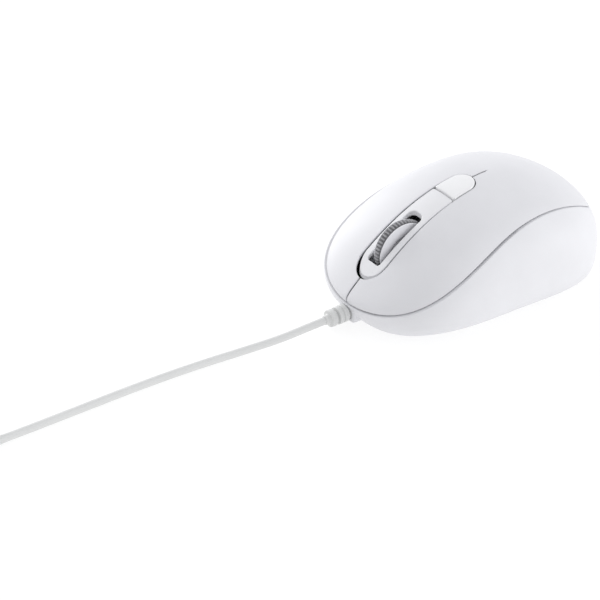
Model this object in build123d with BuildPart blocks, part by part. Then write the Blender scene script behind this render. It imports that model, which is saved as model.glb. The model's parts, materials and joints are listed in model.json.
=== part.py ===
from build123d import *

import os
from functools import lru_cache
from math import atan, cos, pi, radians, sin, tan

os.makedirs("parts", exist_ok=True)

# A small wired computer mouse. Millimetres, +Z up, the nose and its cable point along -Y.
# The origin is the middle of the footprint, on the desk that the glide feet stand on.

# ---- the body's shape ----------------------------------------------------------------
HALF_LENGTH = 49.0
HALF_WIDTH = 33.7
BELT_Z = 8.0  # the level where the body is longest and widest
FOOT_Z = 0.6  # the flat underside, held off the desk by the glide feet
WALL = 1.8
FLOOR = 2.0

SIDE_POWER = 1.85  # plan outline at the belt: |x|^side + |y|^end = 1
NOSE_POWER = 3.6
TAIL_POWER = 3.25
DOME_POWER = 2.73  # how square the dome's shoulders are
DOME_RISE = (28.7, 6.3, -16.5, 0.6)  # dome height over the belt, a polynomial of y / HALF_LENGTH

FOOT_NOSE = 44.0  # the foot outline, smaller than the belt and waisted
FOOT_TAIL = 42.5
FOOT_HALF_WIDTH = (26.9, 5.4, 6.9)
FOOT_SIDE_POWER = 2.95
FOOT_NOSE_POWER = 2.75
FOOT_TAIL_POWER = 2.55

SEAM = (28.8, 10.5, -19.0, -7.7)  # height of the seam between cover and base, along the body
SEAM_GAP = 0.6
SLIT = 0.6  # slit between the two keys
FLEX_Y = 12.0  # where the keys bend away from the palm cover
FLEX_GAP = 0.4

# ---- the console between the keys ------------------------------------------------------
STRIP_FRONT_R = 5.5
STRIP_FRONT_Y = -36.4
OPENING_FRONT_Y = -36.9
STRIP_REAR_R = 4.9
STRIP_REAR_Y = -2.3
STRIP_SPLIT_Y = -9.2
STRIP_RECESS = 0.2
STRIP_WALL = 1.6
STRIP_GAP = 0.35
DPI_RAISE = 0.3
DPI_TRAVEL = 0.4
SLOT_HALF_WIDTH = 3.1
SLOT_FRONT_Y = -38.0
SLOT_REAR_Y = -19.4
SLOT_FRONT_CORNER_R = 1.0
SLOT_REAR_CORNER_R = 2.2

# ---- the wheel, its cradle and its encoder ------------------------------------------------
WHEEL_Y = -26.5
WHEEL_Z = 20.1
WHEEL_R = 10.3
TYRE_DEPTH = 1.6
TYRE_HALF_WIDTH = 1.35
HUB_HALF_WIDTH = 1.75
AXLE_R = 1.0
RUNNING_FIT = 0.05  # radial clearance of a pin in its hole
SIDE_PLAY = 0.3  # clearance beside a moving part
CRADLE_INNER_X = 2.9
CRADLE_WALL = 1.0
CRADLE_OUTER_X = CRADLE_INNER_X + CRADLE_WALL
CRADLE_PIN_Y = -14.5
CRADLE_PIN_Z = 11.5
CRADLE_BAR_Y = -38.6

# ---- the board and what it carries -------------------------------------------------------
BOARD_Z = 6.0
BOARD_THICK = 1.2
BOARD_TOP = BOARD_Z + BOARD_THICK
BOARD_FRONT_Y = -41.5
BOARD_REAR_Y = 22.4
KEY_SWITCH = (5.8, 12.8, 6.5)
KEY_SWITCH_X = 15.5
KEY_SWITCH_Y = -27.0
PLUNGER = (1.4, 3.0)
PLUNGER_PROUD = 0.9
PLUNGER_FIT = 0.1
ACTUATOR_GAP = 0.1
TACT_SWITCH = (6.0, 6.0, 3.4)
DPI_SWITCH_Y = -2.6
SENSOR_Y = 8.0

# ---- the cable ------------------------------------------------------------------------
CABLE_D = 2.6
EXIT_Z = 3.6
RELIEF_R = 2.5
RELIEF_START_Y = -43.6
RELIEF_END_Y = -57.4
COIL_TURN_D = 11 * CABLE_D
COIL_COLUMNS = 4
COIL_LAYERS = 4


def polynomial(terms, value):
    return sum(term * value**power for power, term in enumerate(terms))


def mix(first, second, share):
    return first + (second - first) * share


def fullness(x, y, z, inset=0.0):
    """Less than 1 inside the body, 1 on its skin. An inset shrinks the body all round."""
    along = y / HALF_LENGTH
    tuck = max(0.0, 1.0 - z / BELT_Z) ** 2
    nose = y < 0
    half_length = mix(HALF_LENGTH, FOOT_NOSE if nose else FOOT_TAIL, tuck) - inset
    half_width = mix(HALF_WIDTH, polynomial(FOOT_HALF_WIDTH, along), tuck) - inset
    side_power = mix(SIDE_POWER, FOOT_SIDE_POWER, tuck)
    belt_power = NOSE_POWER if nose else TAIL_POWER
    foot_power = FOOT_NOSE_POWER if nose else FOOT_TAIL_POWER
    end_power = mix(belt_power, foot_power, tuck)
    rise = max(0.0, z - BELT_Z) / max(0.1, polynomial(DOME_RISE, along) - inset)
    return (
        abs(x / half_width) ** side_power
        + abs(y / half_length) ** end_power
        + rise**DOME_POWER
    )


def last_inside(point_at, near, far, inset):
    """The parameter between near and far where point_at leaves the body."""
    for _ in range(36):
        middle = (near + far) / 2
        if fullness(*point_at(middle), inset) < 1.0:
            near = middle
        else:
            far = middle
    return near


# The dome is one smooth patch with no pole. Its points lie on rays from a source under the
# body, evenly spread in angle, so that the patch reaches over the belt on all four sides.
RAY_SOURCE_Z = -10.0
PATCH_EDGE_Z = 7.4
PATCH_POINTS = (31, 41)


@lru_cache
def dome(inset):
    """Everything between the ray source and the body's upper skin, as one solid."""
    source_depth = PATCH_EDGE_Z - RAY_SOURCE_Z
    half_angles = (
        atan((HALF_WIDTH - inset) / source_depth),
        atan((HALF_LENGTH - inset) / source_depth),
    )
    slopes = [
        [tan(half * (2 * i / (count - 1) - 1)) for i in range(count)]
        for half, count in zip(half_angles, PATCH_POINTS)
    ]
    rows = []
    for slope_x in slopes[0]:
        row = []
        for slope_y in slopes[1]:
            def ray(height, slope_x=slope_x, slope_y=slope_y):
                return slope_x * height, slope_y * height, RAY_SOURCE_Z + height

            row.append(ray(last_inside(ray, -RAY_SOURCE_Z, 60.0, inset)))
        rows.append(row)
    patch = Face.make_surface_from_array_of_points(rows)
    source = Vector(0, 0, RAY_SOURCE_Z)
    faces = [patch]
    for edge in patch.edges():
        sides = [edge, Edge.make_line(edge @ 1, source), Edge.make_line(source, edge @ 0)]
        faces.append(Face(Wire(sides)))
    return Solid(Shell(faces))


OUTLINE_POINTS = 40
OUTLINE_CENTRE_Y = 5.0


def level_points(z, inset):
    """Points round the body's outline at one level."""
    points = []
    for index in range(OUTLINE_POINTS):
        turn = 2 * pi * index / OUTLINE_POINTS

        def ray(distance, turn=turn):
            return distance * cos(turn), OUTLINE_CENTRE_Y + distance * sin(turn), z

        reach = last_inside(ray, 1.0, 80.0, inset)
        points.append(ray(reach)[:2])
    return points


def body_loft(levels, inset):
    with BuildPart() as body:
        for z in levels:
            with BuildSketch(Plane.XY.offset(z)):
                with BuildLine():
                    Spline(*level_points(z, inset), periodic=True)
                make_face()
        loft()
    return body.part


def seam_block(shift, above):
    """A block across the body whose face follows the seam: all above it or all below it."""
    far = 70.0
    steps = 14
    ys = [HALF_LENGTH * (2 * i / steps - 1) for i in range(steps + 1)]
    line = [(y, polynomial(SEAM, y / HALF_LENGTH) + shift) for y in ys]
    limit = far if above else -far
    with BuildPart() as block:
        with BuildSketch(Plane.YZ):
            with BuildLine():
                Spline(*line)
                Polyline(
                    line[-1],
                    (far, line[-1][1]),
                    (far, limit),
                    (-far, limit),
                    (-far, line[0][1]),
                    line[0],
                )
            make_face()
        extrude(amount=far, both=True)
    return block.part


def console_outline(front_r, front_y, rear_r, rear_y):
    """A long outline with a round front end and a smaller round rear end."""
    with BuildSketch() as outline:
        with BuildLine():
            ThreePointArc((-front_r, front_y), (0, front_y - front_r), (front_r, front_y))
            Line((front_r, front_y), (rear_r, rear_y))
            ThreePointArc((rear_r, rear_y), (0, rear_y + rear_r), (-rear_r, rear_y))
            Line((-rear_r, rear_y), (-front_r, front_y))
        make_face()
    return outline.sketch


def slab(x_from, x_to, y_from, y_to, z_from=-60.0, z_to=60.0):
    """A plain block between the given limits, used to cut with."""
    with BuildPart() as block:
        with Locations(((x_from + x_to) / 2, (y_from + y_to) / 2, (z_from + z_to) / 2)):
            Box(x_to - x_from, y_to - y_from, z_to - z_from)
    return block.part


def cylinder_x(radius, x_from, x_to, y, z):
    """A round bar along X."""
    with BuildPart() as bar:
        with BuildSketch(Plane.YZ.offset(x_from)):
            with Locations((y, z)):
                Circle(radius)
        extrude(amount=x_to - x_from)
    return bar.part


def cylinder_z(radius, x, y, z_from, z_to):
    """A round post along Z."""
    with BuildPart() as post:
        with BuildSketch(Plane.XY.offset(z_from)):
            with Locations((x, y)):
                Circle(radius)
        extrude(amount=z_to - z_from)
    return post.part


def hang_from_dome(post, inset):
    """The stretch of a tall post that lies under the dome at that inset."""
    return post.intersect(dome(inset))


def save(part, name):
    part.label = name
    export_step(part, f"parts/{name}.step")


# ---- upper shell: palm cover and the two keys -------------------------------------------
def upper_shell():
    with BuildPart() as shell:
        add(dome(0.0))
        add(seam_block(SEAM_GAP / 2, above=False), mode=Mode.SUBTRACT)
        add(dome(WALL), mode=Mode.SUBTRACT)
        opening = console_outline(
            STRIP_FRONT_R + 2 * STRIP_GAP, OPENING_FRONT_Y, STRIP_REAR_R + STRIP_GAP, STRIP_REAR_Y
        )
        with BuildSketch():
            add(opening)
        extrude(amount=60.0, mode=Mode.SUBTRACT)
    return shell.part


REAR_SCREW_Y = 26.0
PEG_X = 15.0
PEG_Y = 27.0
BOSS_TOP_Z = 15.0
BOSS_R = 3.2
SCREW_R = 1.1
SCREW_HEAD_R = 2.2
SCREW_HEAD_Z = 2.2


def top_cover(shell):
    with BuildPart() as cover:
        add(shell)
        add(slab(-60, 60, -60, FLEX_Y + FLEX_GAP / 2), mode=Mode.SUBTRACT)
        posts = [(0, REAR_SCREW_Y), (PEG_X, PEG_Y), (-PEG_X, PEG_Y)]
        for x, y in posts:
            post = cylinder_z(BOSS_R, x, y, BOSS_TOP_Z, 45.0)
            add(hang_from_dome(post, WALL / 2))
        add(cylinder_z(SCREW_R, 0, REAR_SCREW_Y, BOSS_TOP_Z - 1, BOSS_TOP_Z + 8), mode=Mode.SUBTRACT)
    return cover.part


def key(shell, side):
    """One of the two keys. Side is -1 for the left key and 1 for the right key."""
    actuator_z = BOARD_TOP + KEY_SWITCH[2] + PLUNGER_PROUD + ACTUATOR_GAP
    with BuildPart() as cap:
        add(shell)
        add(slab(-60, 60, FLEX_Y - FLEX_GAP / 2, 60), mode=Mode.SUBTRACT)
        inner, outer = sorted((side * SLIT / 2, -side * 60.0))
        add(slab(inner, outer, -60, 60), mode=Mode.SUBTRACT)
        x = side * KEY_SWITCH_X
        rib = slab(x - 1.5, x + 1.5, KEY_SWITCH_Y - 3, KEY_SWITCH_Y + 3, actuator_z, 45.0)
        add(hang_from_dome(rib, WALL / 2))
    return cap.part


# ---- base: side walls, floor and bosses ----------------------------------------------------
COLLAR_HALF_WIDTH = 4.2
COLLAR_FRONT_Y = -48.3
COLLAR_TOP_Z = 6.8
SENSOR_WINDOW = (9.0, 14.0)
BOARD_POSTS = [(-13.0, -34.0), (13.0, -34.0), (-14.0, 17.0), (14.0, 17.0)]
BOARD_SCREWS = BOARD_POSTS[2:]
BOARD_SCREW_R = 0.9
BOARD_SCREW_TIP_Z = 3.0


def base_shell():
    outer_levels = [FOOT_Z, 2.5, 5.0, BELT_Z, 12.0, 16.0, 20.0, 24.0, 28.0, 32.0]
    inner_levels = [FOOT_Z + FLOOR, 5.0, BELT_Z, 12.0, 16.0, 20.0, 24.0, 28.0, 31.0, 33.0]
    with BuildPart() as base:
        add(body_loft(outer_levels, 0.0))
        add(body_loft(inner_levels, WALL), mode=Mode.SUBTRACT)
        add(seam_block(-SEAM_GAP / 2, above=True), mode=Mode.SUBTRACT)
        with BuildSketch(Plane.XZ.offset(-COLLAR_FRONT_Y)):
            with Locations((0, (FOOT_Z + COLLAR_TOP_Z) / 2)):
                RectangleRounded(2 * COLLAR_HALF_WIDTH, COLLAR_TOP_Z - FOOT_Z, 1.6)
        extrude(amount=COLLAR_FRONT_Y - RELIEF_START_Y - WALL)
        with BuildSketch(Plane.XZ.offset(-COLLAR_FRONT_Y + 1)):
            with Locations((0, EXIT_Z)):
                Circle(RELIEF_R)
        extrude(amount=-8, mode=Mode.SUBTRACT)
        for x, y in BOARD_POSTS:
            add(cylinder_z(2.2, x, y, FOOT_Z + FLOOR - 0.5, BOARD_Z))
        for x, y in BOARD_SCREWS:
            add(cylinder_z(BOARD_SCREW_R, x, y, BOARD_SCREW_TIP_Z, BOARD_Z + 1), mode=Mode.SUBTRACT)
        for x, y in [(0, REAR_SCREW_Y), (PEG_X, PEG_Y), (-PEG_X, PEG_Y)]:
            add(cylinder_z(BOSS_R, x, y, FOOT_Z + FLOOR - 0.5, BOSS_TOP_Z))
        add(cylinder_z(SCREW_R, 0, REAR_SCREW_Y, 0, BOSS_TOP_Z + 1), mode=Mode.SUBTRACT)
        add(cylinder_z(SCREW_HEAD_R, 0, REAR_SCREW_Y, 0, SCREW_HEAD_Z), mode=Mode.SUBTRACT)
        window_x, window_y = SENSOR_WINDOW
        add(
            slab(-window_x / 2, window_x / 2, SENSOR_Y - window_y / 2, SENSOR_Y + window_y / 2, 0, 4),
            mode=Mode.SUBTRACT,
        )
    return base.part


# ---- console strip and resolution button ------------------------------------------------------
CONSOLE_LOWEST_Z = 12.0
LEG_X = 4.95
LEG_HALF_WIDTH = 0.45
STRIP_LEG_YS = (-33.5, -10.7)


def centre_strip():
    outline = console_outline(STRIP_FRONT_R, STRIP_FRONT_Y, STRIP_REAR_R, STRIP_REAR_Y)
    slot_length = SLOT_REAR_Y - SLOT_FRONT_Y
    with BuildPart() as strip:
        with BuildSketch(Plane.XY.offset(CONSOLE_LOWEST_Z)):
            add(outline)
        extrude(amount=45.0)
        add(slab(-20, 20, STRIP_SPLIT_Y, 60), mode=Mode.SUBTRACT)
        with BuildSketch() as slot:
            with Locations((0, (SLOT_FRONT_Y + SLOT_REAR_Y) / 2)):
                Rectangle(2 * SLOT_HALF_WIDTH, slot_length)
            fillet(slot.vertices().group_by(Axis.Y)[0], SLOT_FRONT_CORNER_R)
            fillet(slot.vertices().group_by(Axis.Y)[-1], SLOT_REAR_CORNER_R)
        extrude(amount=60.0, mode=Mode.SUBTRACT)
        add(dome(STRIP_RECESS), mode=Mode.INTERSECT)
        add(dome(STRIP_RECESS + STRIP_WALL), mode=Mode.SUBTRACT)
        for y in STRIP_LEG_YS:
            for side in (-1, 1):
                edges = sorted((side * (LEG_X - LEG_HALF_WIDTH), side * (LEG_X + LEG_HALF_WIDTH)))
                leg = slab(edges[0], edges[1], y - 1.2, y + 1.2, BOARD_TOP, 45.0)
                add(hang_from_dome(leg, STRIP_RECESS + STRIP_WALL / 2))
    return strip.part


def dpi_button():
    outline = console_outline(STRIP_FRONT_R, STRIP_FRONT_Y, STRIP_REAR_R, STRIP_REAR_Y)
    stem_z = BOARD_TOP + TACT_SWITCH[2] + PLUNGER_PROUD + ACTUATOR_GAP
    with BuildPart() as button:
        with BuildSketch(Plane.XY.offset(CONSOLE_LOWEST_Z)):
            add(outline)
        extrude(amount=45.0)
        add(slab(-20, 20, -60, STRIP_SPLIT_Y + STRIP_GAP), mode=Mode.SUBTRACT)
        add(dome(-DPI_RAISE), mode=Mode.INTERSECT)
        add(dome(STRIP_RECESS + STRIP_WALL), mode=Mode.SUBTRACT)
        stem = cylinder_z(1.4, 0, DPI_SWITCH_Y, stem_z, 45.0)
        add(hang_from_dome(stem, STRIP_WALL / 2))
    return button.part


# ---- scroll wheel ---------------------------------------------------------------------------------
HUB_R = WHEEL_R - TYRE_DEPTH
FLANGE_R = 9.8  # the hub's side discs reach over the tyre's sides
DISH_R = 6.0
DISH_FLOOR_X = 1.0
BOSS_R_HUB = 2.4
BOSS_HALF_WIDTH = CRADLE_INNER_X - SIDE_PLAY
WINDOWS = 5
WINDOW_R = 1.3
WINDOW_CIRCLE_R = 4.2
TREAD_CROWN = 0.35
AXLE_END_X = CRADLE_OUTER_X + SIDE_PLAY
ENCODER_X = -8.2
ENCODER = (4.4, 5.8, 15.2)  # along X, along Y, height over the board
ENCODER_ROUND = 2.0
ROTOR_R = 2.0
ROTOR_PLAY = 0.5  # the axle floats in the rotor as the wheel is pressed


def wheel_hub():
    """Two dished discs beside a rim, on a long axle, with windows between the spokes."""
    axle_start_x = ENCODER_X - ENCODER[0] / 2 + 0.4
    with BuildPart() as hub:
        add(cylinder_x(FLANGE_R, -HUB_HALF_WIDTH, HUB_HALF_WIDTH, WHEEL_Y, WHEEL_Z))
        groove = cylinder_x(WHEEL_R, -TYRE_HALF_WIDTH, TYRE_HALF_WIDTH, WHEEL_Y, WHEEL_Z)
        add(groove, mode=Mode.SUBTRACT)
        add(cylinder_x(HUB_R, -TYRE_HALF_WIDTH, TYRE_HALF_WIDTH, WHEEL_Y, WHEEL_Z))
        for side in (-1, 1):
            start, end = sorted((side * DISH_FLOOR_X, side * (HUB_HALF_WIDTH + 1)))
            dish = cylinder_x(DISH_R, start, end, WHEEL_Y, WHEEL_Z)
            add(dish, mode=Mode.SUBTRACT)
        add(cylinder_x(BOSS_R_HUB, -BOSS_HALF_WIDTH, BOSS_HALF_WIDTH, WHEEL_Y, WHEEL_Z))
        with BuildSketch(Plane.YZ.offset(-HUB_HALF_WIDTH)):
            with Locations((WHEEL_Y, WHEEL_Z)):
                with PolarLocations(WINDOW_CIRCLE_R, WINDOWS):
                    Circle(WINDOW_R)
        extrude(amount=2 * HUB_HALF_WIDTH, mode=Mode.SUBTRACT)
        add(cylinder_x(AXLE_R, axle_start_x, AXLE_END_X, WHEEL_Y, WHEEL_Z))
    return hub.part


def wheel_tyre():
    """A rubber ring with a crowned tread, stretched over the hub's rim."""
    shoulder_y = WHEEL_Y + WHEEL_R - TREAD_CROWN
    with BuildPart() as tyre:
        with BuildSketch(Plane.XY.offset(WHEEL_Z)):
            with BuildLine():
                Polyline(
                    (TYRE_HALF_WIDTH, shoulder_y),
                    (TYRE_HALF_WIDTH, WHEEL_Y + HUB_R),
                    (-TYRE_HALF_WIDTH, WHEEL_Y + HUB_R),
                    (-TYRE_HALF_WIDTH, shoulder_y),
                )
                ThreePointArc(
                    (-TYRE_HALF_WIDTH, shoulder_y),
                    (0, WHEEL_Y + WHEEL_R),
                    (TYRE_HALF_WIDTH, shoulder_y),
                )
            make_face()
        revolve(axis=Axis((0, WHEEL_Y, WHEEL_Z), (1, 0, 0)))
    return tyre.part


BAR_BOTTOM_Z = BOARD_TOP + TACT_SWITCH[2] + PLUNGER_PROUD + ACTUATOR_GAP
BAR_HALF_WIDTH = 1.0
BAR_HEIGHT = 2.0
PIN_EYE_R = 1.9
AXLE_EYE_R = 2.2


def wheel_cradle():
    """A frame round the wheel: two side plates and a bar in front, tilting on a rear pin."""
    front_y = CRADLE_BAR_Y - BAR_HALF_WIDTH
    rear_y = CRADLE_PIN_Y + PIN_EYE_R
    with BuildPart() as cradle:
        with BuildSketch(Plane.YZ.offset(-CRADLE_OUTER_X)):
            with BuildLine():
                Polyline(
                    (front_y, BAR_BOTTOM_Z),
                    (rear_y, BAR_BOTTOM_Z - 1.2),
                    (rear_y, CRADLE_PIN_Z + 1.6),
                    (WHEEL_Y + AXLE_EYE_R, WHEEL_Z + AXLE_EYE_R),
                    (WHEEL_Y - AXLE_EYE_R, WHEEL_Z + AXLE_EYE_R),
                    (front_y, BAR_BOTTOM_Z + BAR_HEIGHT),
                    close=True,
                )
            make_face()
        extrude(amount=2 * CRADLE_OUTER_X)
        middle = slab(-CRADLE_INNER_X, CRADLE_INNER_X, CRADLE_BAR_Y + BAR_HALF_WIDTH, 0)
        add(middle, mode=Mode.SUBTRACT)
        hole_r = AXLE_R + RUNNING_FIT
        add(cylinder_x(hole_r, -9, 9, WHEEL_Y, WHEEL_Z), mode=Mode.SUBTRACT)
        add(cylinder_x(hole_r, -9, 9, CRADLE_PIN_Y, CRADLE_PIN_Z), mode=Mode.SUBTRACT)
    return cradle.part


BRACKET_INNER_X = CRADLE_OUTER_X + SIDE_PLAY
BRACKET_OUTER_X = BRACKET_INNER_X + 1.2
BRACKET_WIDTH = 3.6
BRACKET_TOP_Z = CRADLE_PIN_Z + 1.8
BRACKET_PLATE = 1.0


def cradle_bracket():
    """Two uprights on a plate, which carry the cradle's pin."""
    plate_top_z = BOARD_TOP + BRACKET_PLATE
    with BuildPart() as bracket:
        with BuildSketch(Plane.YZ.offset(-BRACKET_OUTER_X)):
            with Locations((CRADLE_PIN_Y, (BOARD_TOP + BRACKET_TOP_Z) / 2)):
                Rectangle(BRACKET_WIDTH, BRACKET_TOP_Z - BOARD_TOP)
        extrude(amount=2 * BRACKET_OUTER_X)
        inside = slab(-BRACKET_INNER_X, BRACKET_INNER_X, -30, 0, plate_top_z, 60)
        add(inside, mode=Mode.SUBTRACT)
        add(cylinder_x(AXLE_R, -9, 9, CRADLE_PIN_Y, CRADLE_PIN_Z), mode=Mode.SUBTRACT)
    return bracket.part


def cradle_pin():
    return cylinder_x(AXLE_R, -BRACKET_OUTER_X, BRACKET_OUTER_X, CRADLE_PIN_Y, CRADLE_PIN_Z)


def encoder_body():
    """A rotary encoder that stands on the board beside the wheel."""
    width, depth, height = ENCODER
    with BuildPart() as body:
        with Locations((ENCODER_X, WHEEL_Y, BOARD_TOP + height / 2)):
            Box(width, depth, height)
        fillet(body.edges().filter_by(Axis.X).sort_by(Axis.Z)[-2:], ENCODER_ROUND)
        hole_r = ROTOR_R + RUNNING_FIT
        add(cylinder_x(hole_r, ENCODER_X - 5, ENCODER_X + 5, WHEEL_Y, WHEEL_Z), mode=Mode.SUBTRACT)
    return body.part


def encoder_rotor():
    """The encoder's turning sleeve, loose round the wheel's axle."""
    half = ENCODER[0] / 2
    with BuildPart() as rotor:
        add(cylinder_x(ROTOR_R, ENCODER_X - half, ENCODER_X + half, WHEEL_Y, WHEEL_Z))
        hole_r = AXLE_R + ROTOR_PLAY
        add(cylinder_x(hole_r, ENCODER_X - 5, ENCODER_X + 5, WHEEL_Y, WHEEL_Z), mode=Mode.SUBTRACT)
    return rotor.part


# ---- circuit board and its parts --------------------------------------------------------------------
BOARD_HALF_WIDTH = 20.5
BOARD_NOSE_HALF_WIDTH = 15.0
BOARD_SHOULDER_Y = -32.0
BOARD_HOLE = 7.0  # the square hole under the sensor


def circuit_board():
    with BuildPart() as board:
        with BuildSketch(Plane.XY.offset(BOARD_Z)):
            with BuildLine():
                Polyline(
                    (-BOARD_NOSE_HALF_WIDTH, BOARD_FRONT_Y),
                    (BOARD_NOSE_HALF_WIDTH, BOARD_FRONT_Y),
                    (BOARD_HALF_WIDTH, BOARD_SHOULDER_Y),
                    (BOARD_HALF_WIDTH, BOARD_REAR_Y),
                    (-BOARD_HALF_WIDTH, BOARD_REAR_Y),
                    (-BOARD_HALF_WIDTH, BOARD_SHOULDER_Y),
                    close=True,
                )
            make_face()
            with Locations((0, SENSOR_Y)):
                Rectangle(BOARD_HOLE, BOARD_HOLE, mode=Mode.SUBTRACT)
            with Locations(*BOARD_SCREWS):
                Circle(BOARD_SCREW_R, mode=Mode.SUBTRACT)
        extrude(amount=BOARD_THICK)
    return board.part


WELL_DEPTH = 1.6
PLUNGER_HEIGHT = 1.9


def switch_case(x, y, size, bevel):
    """A switch body standing on the board, with a well in its top for the plunger."""
    width, depth, height = size
    well_half_x = PLUNGER[0] / 2 + PLUNGER_FIT
    well_half_y = PLUNGER[1] / 2 + PLUNGER_FIT
    well_floor_z = BOARD_TOP + height - WELL_DEPTH
    with BuildPart() as case:
        with Locations((x, y, BOARD_TOP + height / 2)):
            Box(width, depth, height)
        chamfer(case.faces().sort_by(Axis.Z)[-1].edges(), bevel)
        well = slab(
            x - well_half_x,
            x + well_half_x,
            y - well_half_y,
            y + well_half_y,
            well_floor_z,
            60,
        )
        add(well, mode=Mode.SUBTRACT)
    return case.part


def switch_plunger(x, y, size):
    top = BOARD_TOP + size[2] + PLUNGER_PROUD
    width, depth = PLUNGER
    with BuildPart() as plunger:
        with Locations((x, y, top - PLUNGER_HEIGHT / 2)):
            Box(width, depth, PLUNGER_HEIGHT)
        chamfer(plunger.faces().sort_by(Axis.Z)[-1].edges(), 0.2)
    return plunger.part


def leg_rows(x, y, spread, pitch, count, leg):
    """Two rows of legs on the board, spread apart along X about one middle."""
    for side in (-1, 1):
        with Locations((x + side * spread, y, BOARD_TOP + leg[2] / 2)):
            with GridLocations(0, pitch, 1, count):
                Box(*leg)


SENSOR_CHIP = (9.0, 12.4, 2.4)


def sensor_chip():
    """The optical sensor: a flat package over its hole in the board, with two rows of legs."""
    width, length, height = SENSOR_CHIP
    with BuildPart() as chip:
        with Locations((0, SENSOR_Y, BOARD_TOP + height / 2)):
            Box(width, length, height)
        chamfer(chip.faces().sort_by(Axis.Z)[-1].edges(), 0.3)
        leg_rows(0, SENSOR_Y, width / 2 + 0.5, 1.8, 6, (1.2, 0.5, 1.0))
    return chip.part


def sensor_lens():
    """The clear lens plate between the board and the window in the floor."""
    floor_top_z = FOOT_Z + FLOOR
    plate_width, plate_length = (side + 3.5 for side in SENSOR_WINDOW)
    plug_width, plug_length = (side - 2 * SIDE_PLAY for side in SENSOR_WINDOW)
    with BuildPart() as lens:
        with Locations((0, SENSOR_Y, (floor_top_z + BOARD_Z) / 2)):
            Box(plate_width, plate_length, BOARD_Z - floor_top_z)
        with Locations((0, SENSOR_Y, floor_top_z - FLOOR / 2 + 0.5)):
            Box(plug_width, plug_length, FLOOR)
        with Locations((0, SENSOR_Y + 1.5, FOOT_Z + SIDE_PLAY)):
            Sphere(1.9, mode=Mode.SUBTRACT)
    return lens.part


def led_lamp():
    """A clear round-nosed lamp lying behind the lens, in a small square clip."""
    lamp_r = 1.5
    nose_y = SENSOR_Y + 8.9
    axis_z = BOARD_TOP + lamp_r + 0.4
    clip_width = 4.4
    clip_thick = 2.2
    clip_height = axis_z - BOARD_TOP + lamp_r + 0.6
    with BuildPart() as lamp:
        with BuildSketch(Plane.XZ.offset(-nose_y)):
            with Locations((0, axis_z)):
                Circle(lamp_r)
        extrude(amount=-3 * lamp_r)
        with Locations((0, nose_y, axis_z)):
            Sphere(lamp_r)
        with Locations((0, nose_y + 3.4, BOARD_TOP + clip_height / 2)):
            Box(clip_width, clip_thick, clip_height)
    return lamp.part


CONTROLLER_PLACE = (13.0, -4.0)
CONTROLLER = (6.0, 9.9, 1.6)
CAPACITOR_PLACE = (-13.5, -9.0)
CAPACITOR_R = 2.5
CAPACITOR_HEIGHT = 5.5


def controller_chip():
    x, y = CONTROLLER_PLACE
    width, length, height = CONTROLLER
    stand_off = 0.1
    with BuildPart() as chip:
        with Locations((x, y, BOARD_TOP + stand_off + height / 2)):
            Box(width, length, height)
        leg_rows(x, y, width / 2 + 0.4, 1.27, 7, (1.4, 0.45, 0.8))
    return chip.part


def capacitor():
    top_z = BOARD_TOP + CAPACITOR_HEIGHT
    with BuildPart() as can:
        add(cylinder_z(CAPACITOR_R, *CAPACITOR_PLACE, BOARD_TOP, top_z))
        fillet(can.edges().sort_by(Axis.Z)[-1], 0.4)
    return can.part


CONNECTOR_X = -11.0
CONNECTOR_Y = -22.0
CONNECTOR = (10.0, 4.6, 3.3)


def cable_connector():
    """A white plug under the board, where the cable's cores end."""
    with BuildPart() as plug:
        with Locations((CONNECTOR_X, CONNECTOR_Y, BOARD_Z - CONNECTOR[2] / 2)):
            Box(*CONNECTOR)
        chamfer(plug.faces().sort_by(Axis.Z)[0].edges(), 0.3)
    return plug.part


def inner_lead():
    """The cable's bared inner jacket, from the strain relief to the connector."""
    lead_r = 0.9
    start = (0, RELIEF_START_Y, EXIT_Z)
    corners = [
        start,
        (0, -38.5, EXIT_Z),
        (-6.0, -31.0, EXIT_Z),
        (CONNECTOR_X, -28.0, EXIT_Z),
        (CONNECTOR_X, CONNECTOR_Y - CONNECTOR[1] / 2, EXIT_Z),
    ]
    with BuildPart() as lead:
        with BuildLine():
            route = FilletPolyline(*corners, radius=2.4)
        with BuildSketch(Plane(origin=start, z_dir=route % 0)):
            Circle(lead_r)
        sweep()
    return lead.part


def cross_recess(x, y, z, arm, slot, depth):
    """A cross to cut into a screw head, from z upwards."""
    with BuildPart() as recess:
        with BuildSketch(Plane.XY.offset(z)):
            with Locations((x, y)):
                Rectangle(arm, slot)
                Rectangle(slot, arm)
        extrude(amount=depth)
    return recess.part


def board_screws():
    head_z = BOARD_TOP
    head_r = 1.7
    head_thick = 1.1
    with BuildPart() as screws:
        for x, y in BOARD_SCREWS:
            add(cylinder_z(BOARD_SCREW_R - RUNNING_FIT, x, y, BOARD_SCREW_TIP_Z, head_z))
            add(cylinder_z(head_r, x, y, head_z, head_z + head_thick))
            recess = cross_recess(x, y, head_z + head_thick / 2, 2.0, 0.4, head_thick)
            add(recess, mode=Mode.SUBTRACT)
    return screws.part


def case_screw():
    """The screw that holds the palm cover down on the base, driven from below."""
    head_thick = 1.4
    head_z = SCREW_HEAD_Z - head_thick
    with BuildPart() as screw:
        add(cylinder_z(SCREW_HEAD_R - 0.1, 0, REAR_SCREW_Y, head_z, SCREW_HEAD_Z))
        add(cylinder_z(SCREW_R - RUNNING_FIT, 0, REAR_SCREW_Y, SCREW_HEAD_Z, BOSS_TOP_Z + 6))
        recess = cross_recess(0, REAR_SCREW_Y, head_z, 2.4, 0.5, head_thick / 2)
        add(recess, mode=Mode.SUBTRACT)
    return screw.part


GLIDE_INSETS = (4.0, 9.5)  # the crescents' outer and inner distance from the foot outline
GLIDE_REAR_Y = 28.0
GLIDE_FRONT_Y = -29.0


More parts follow.
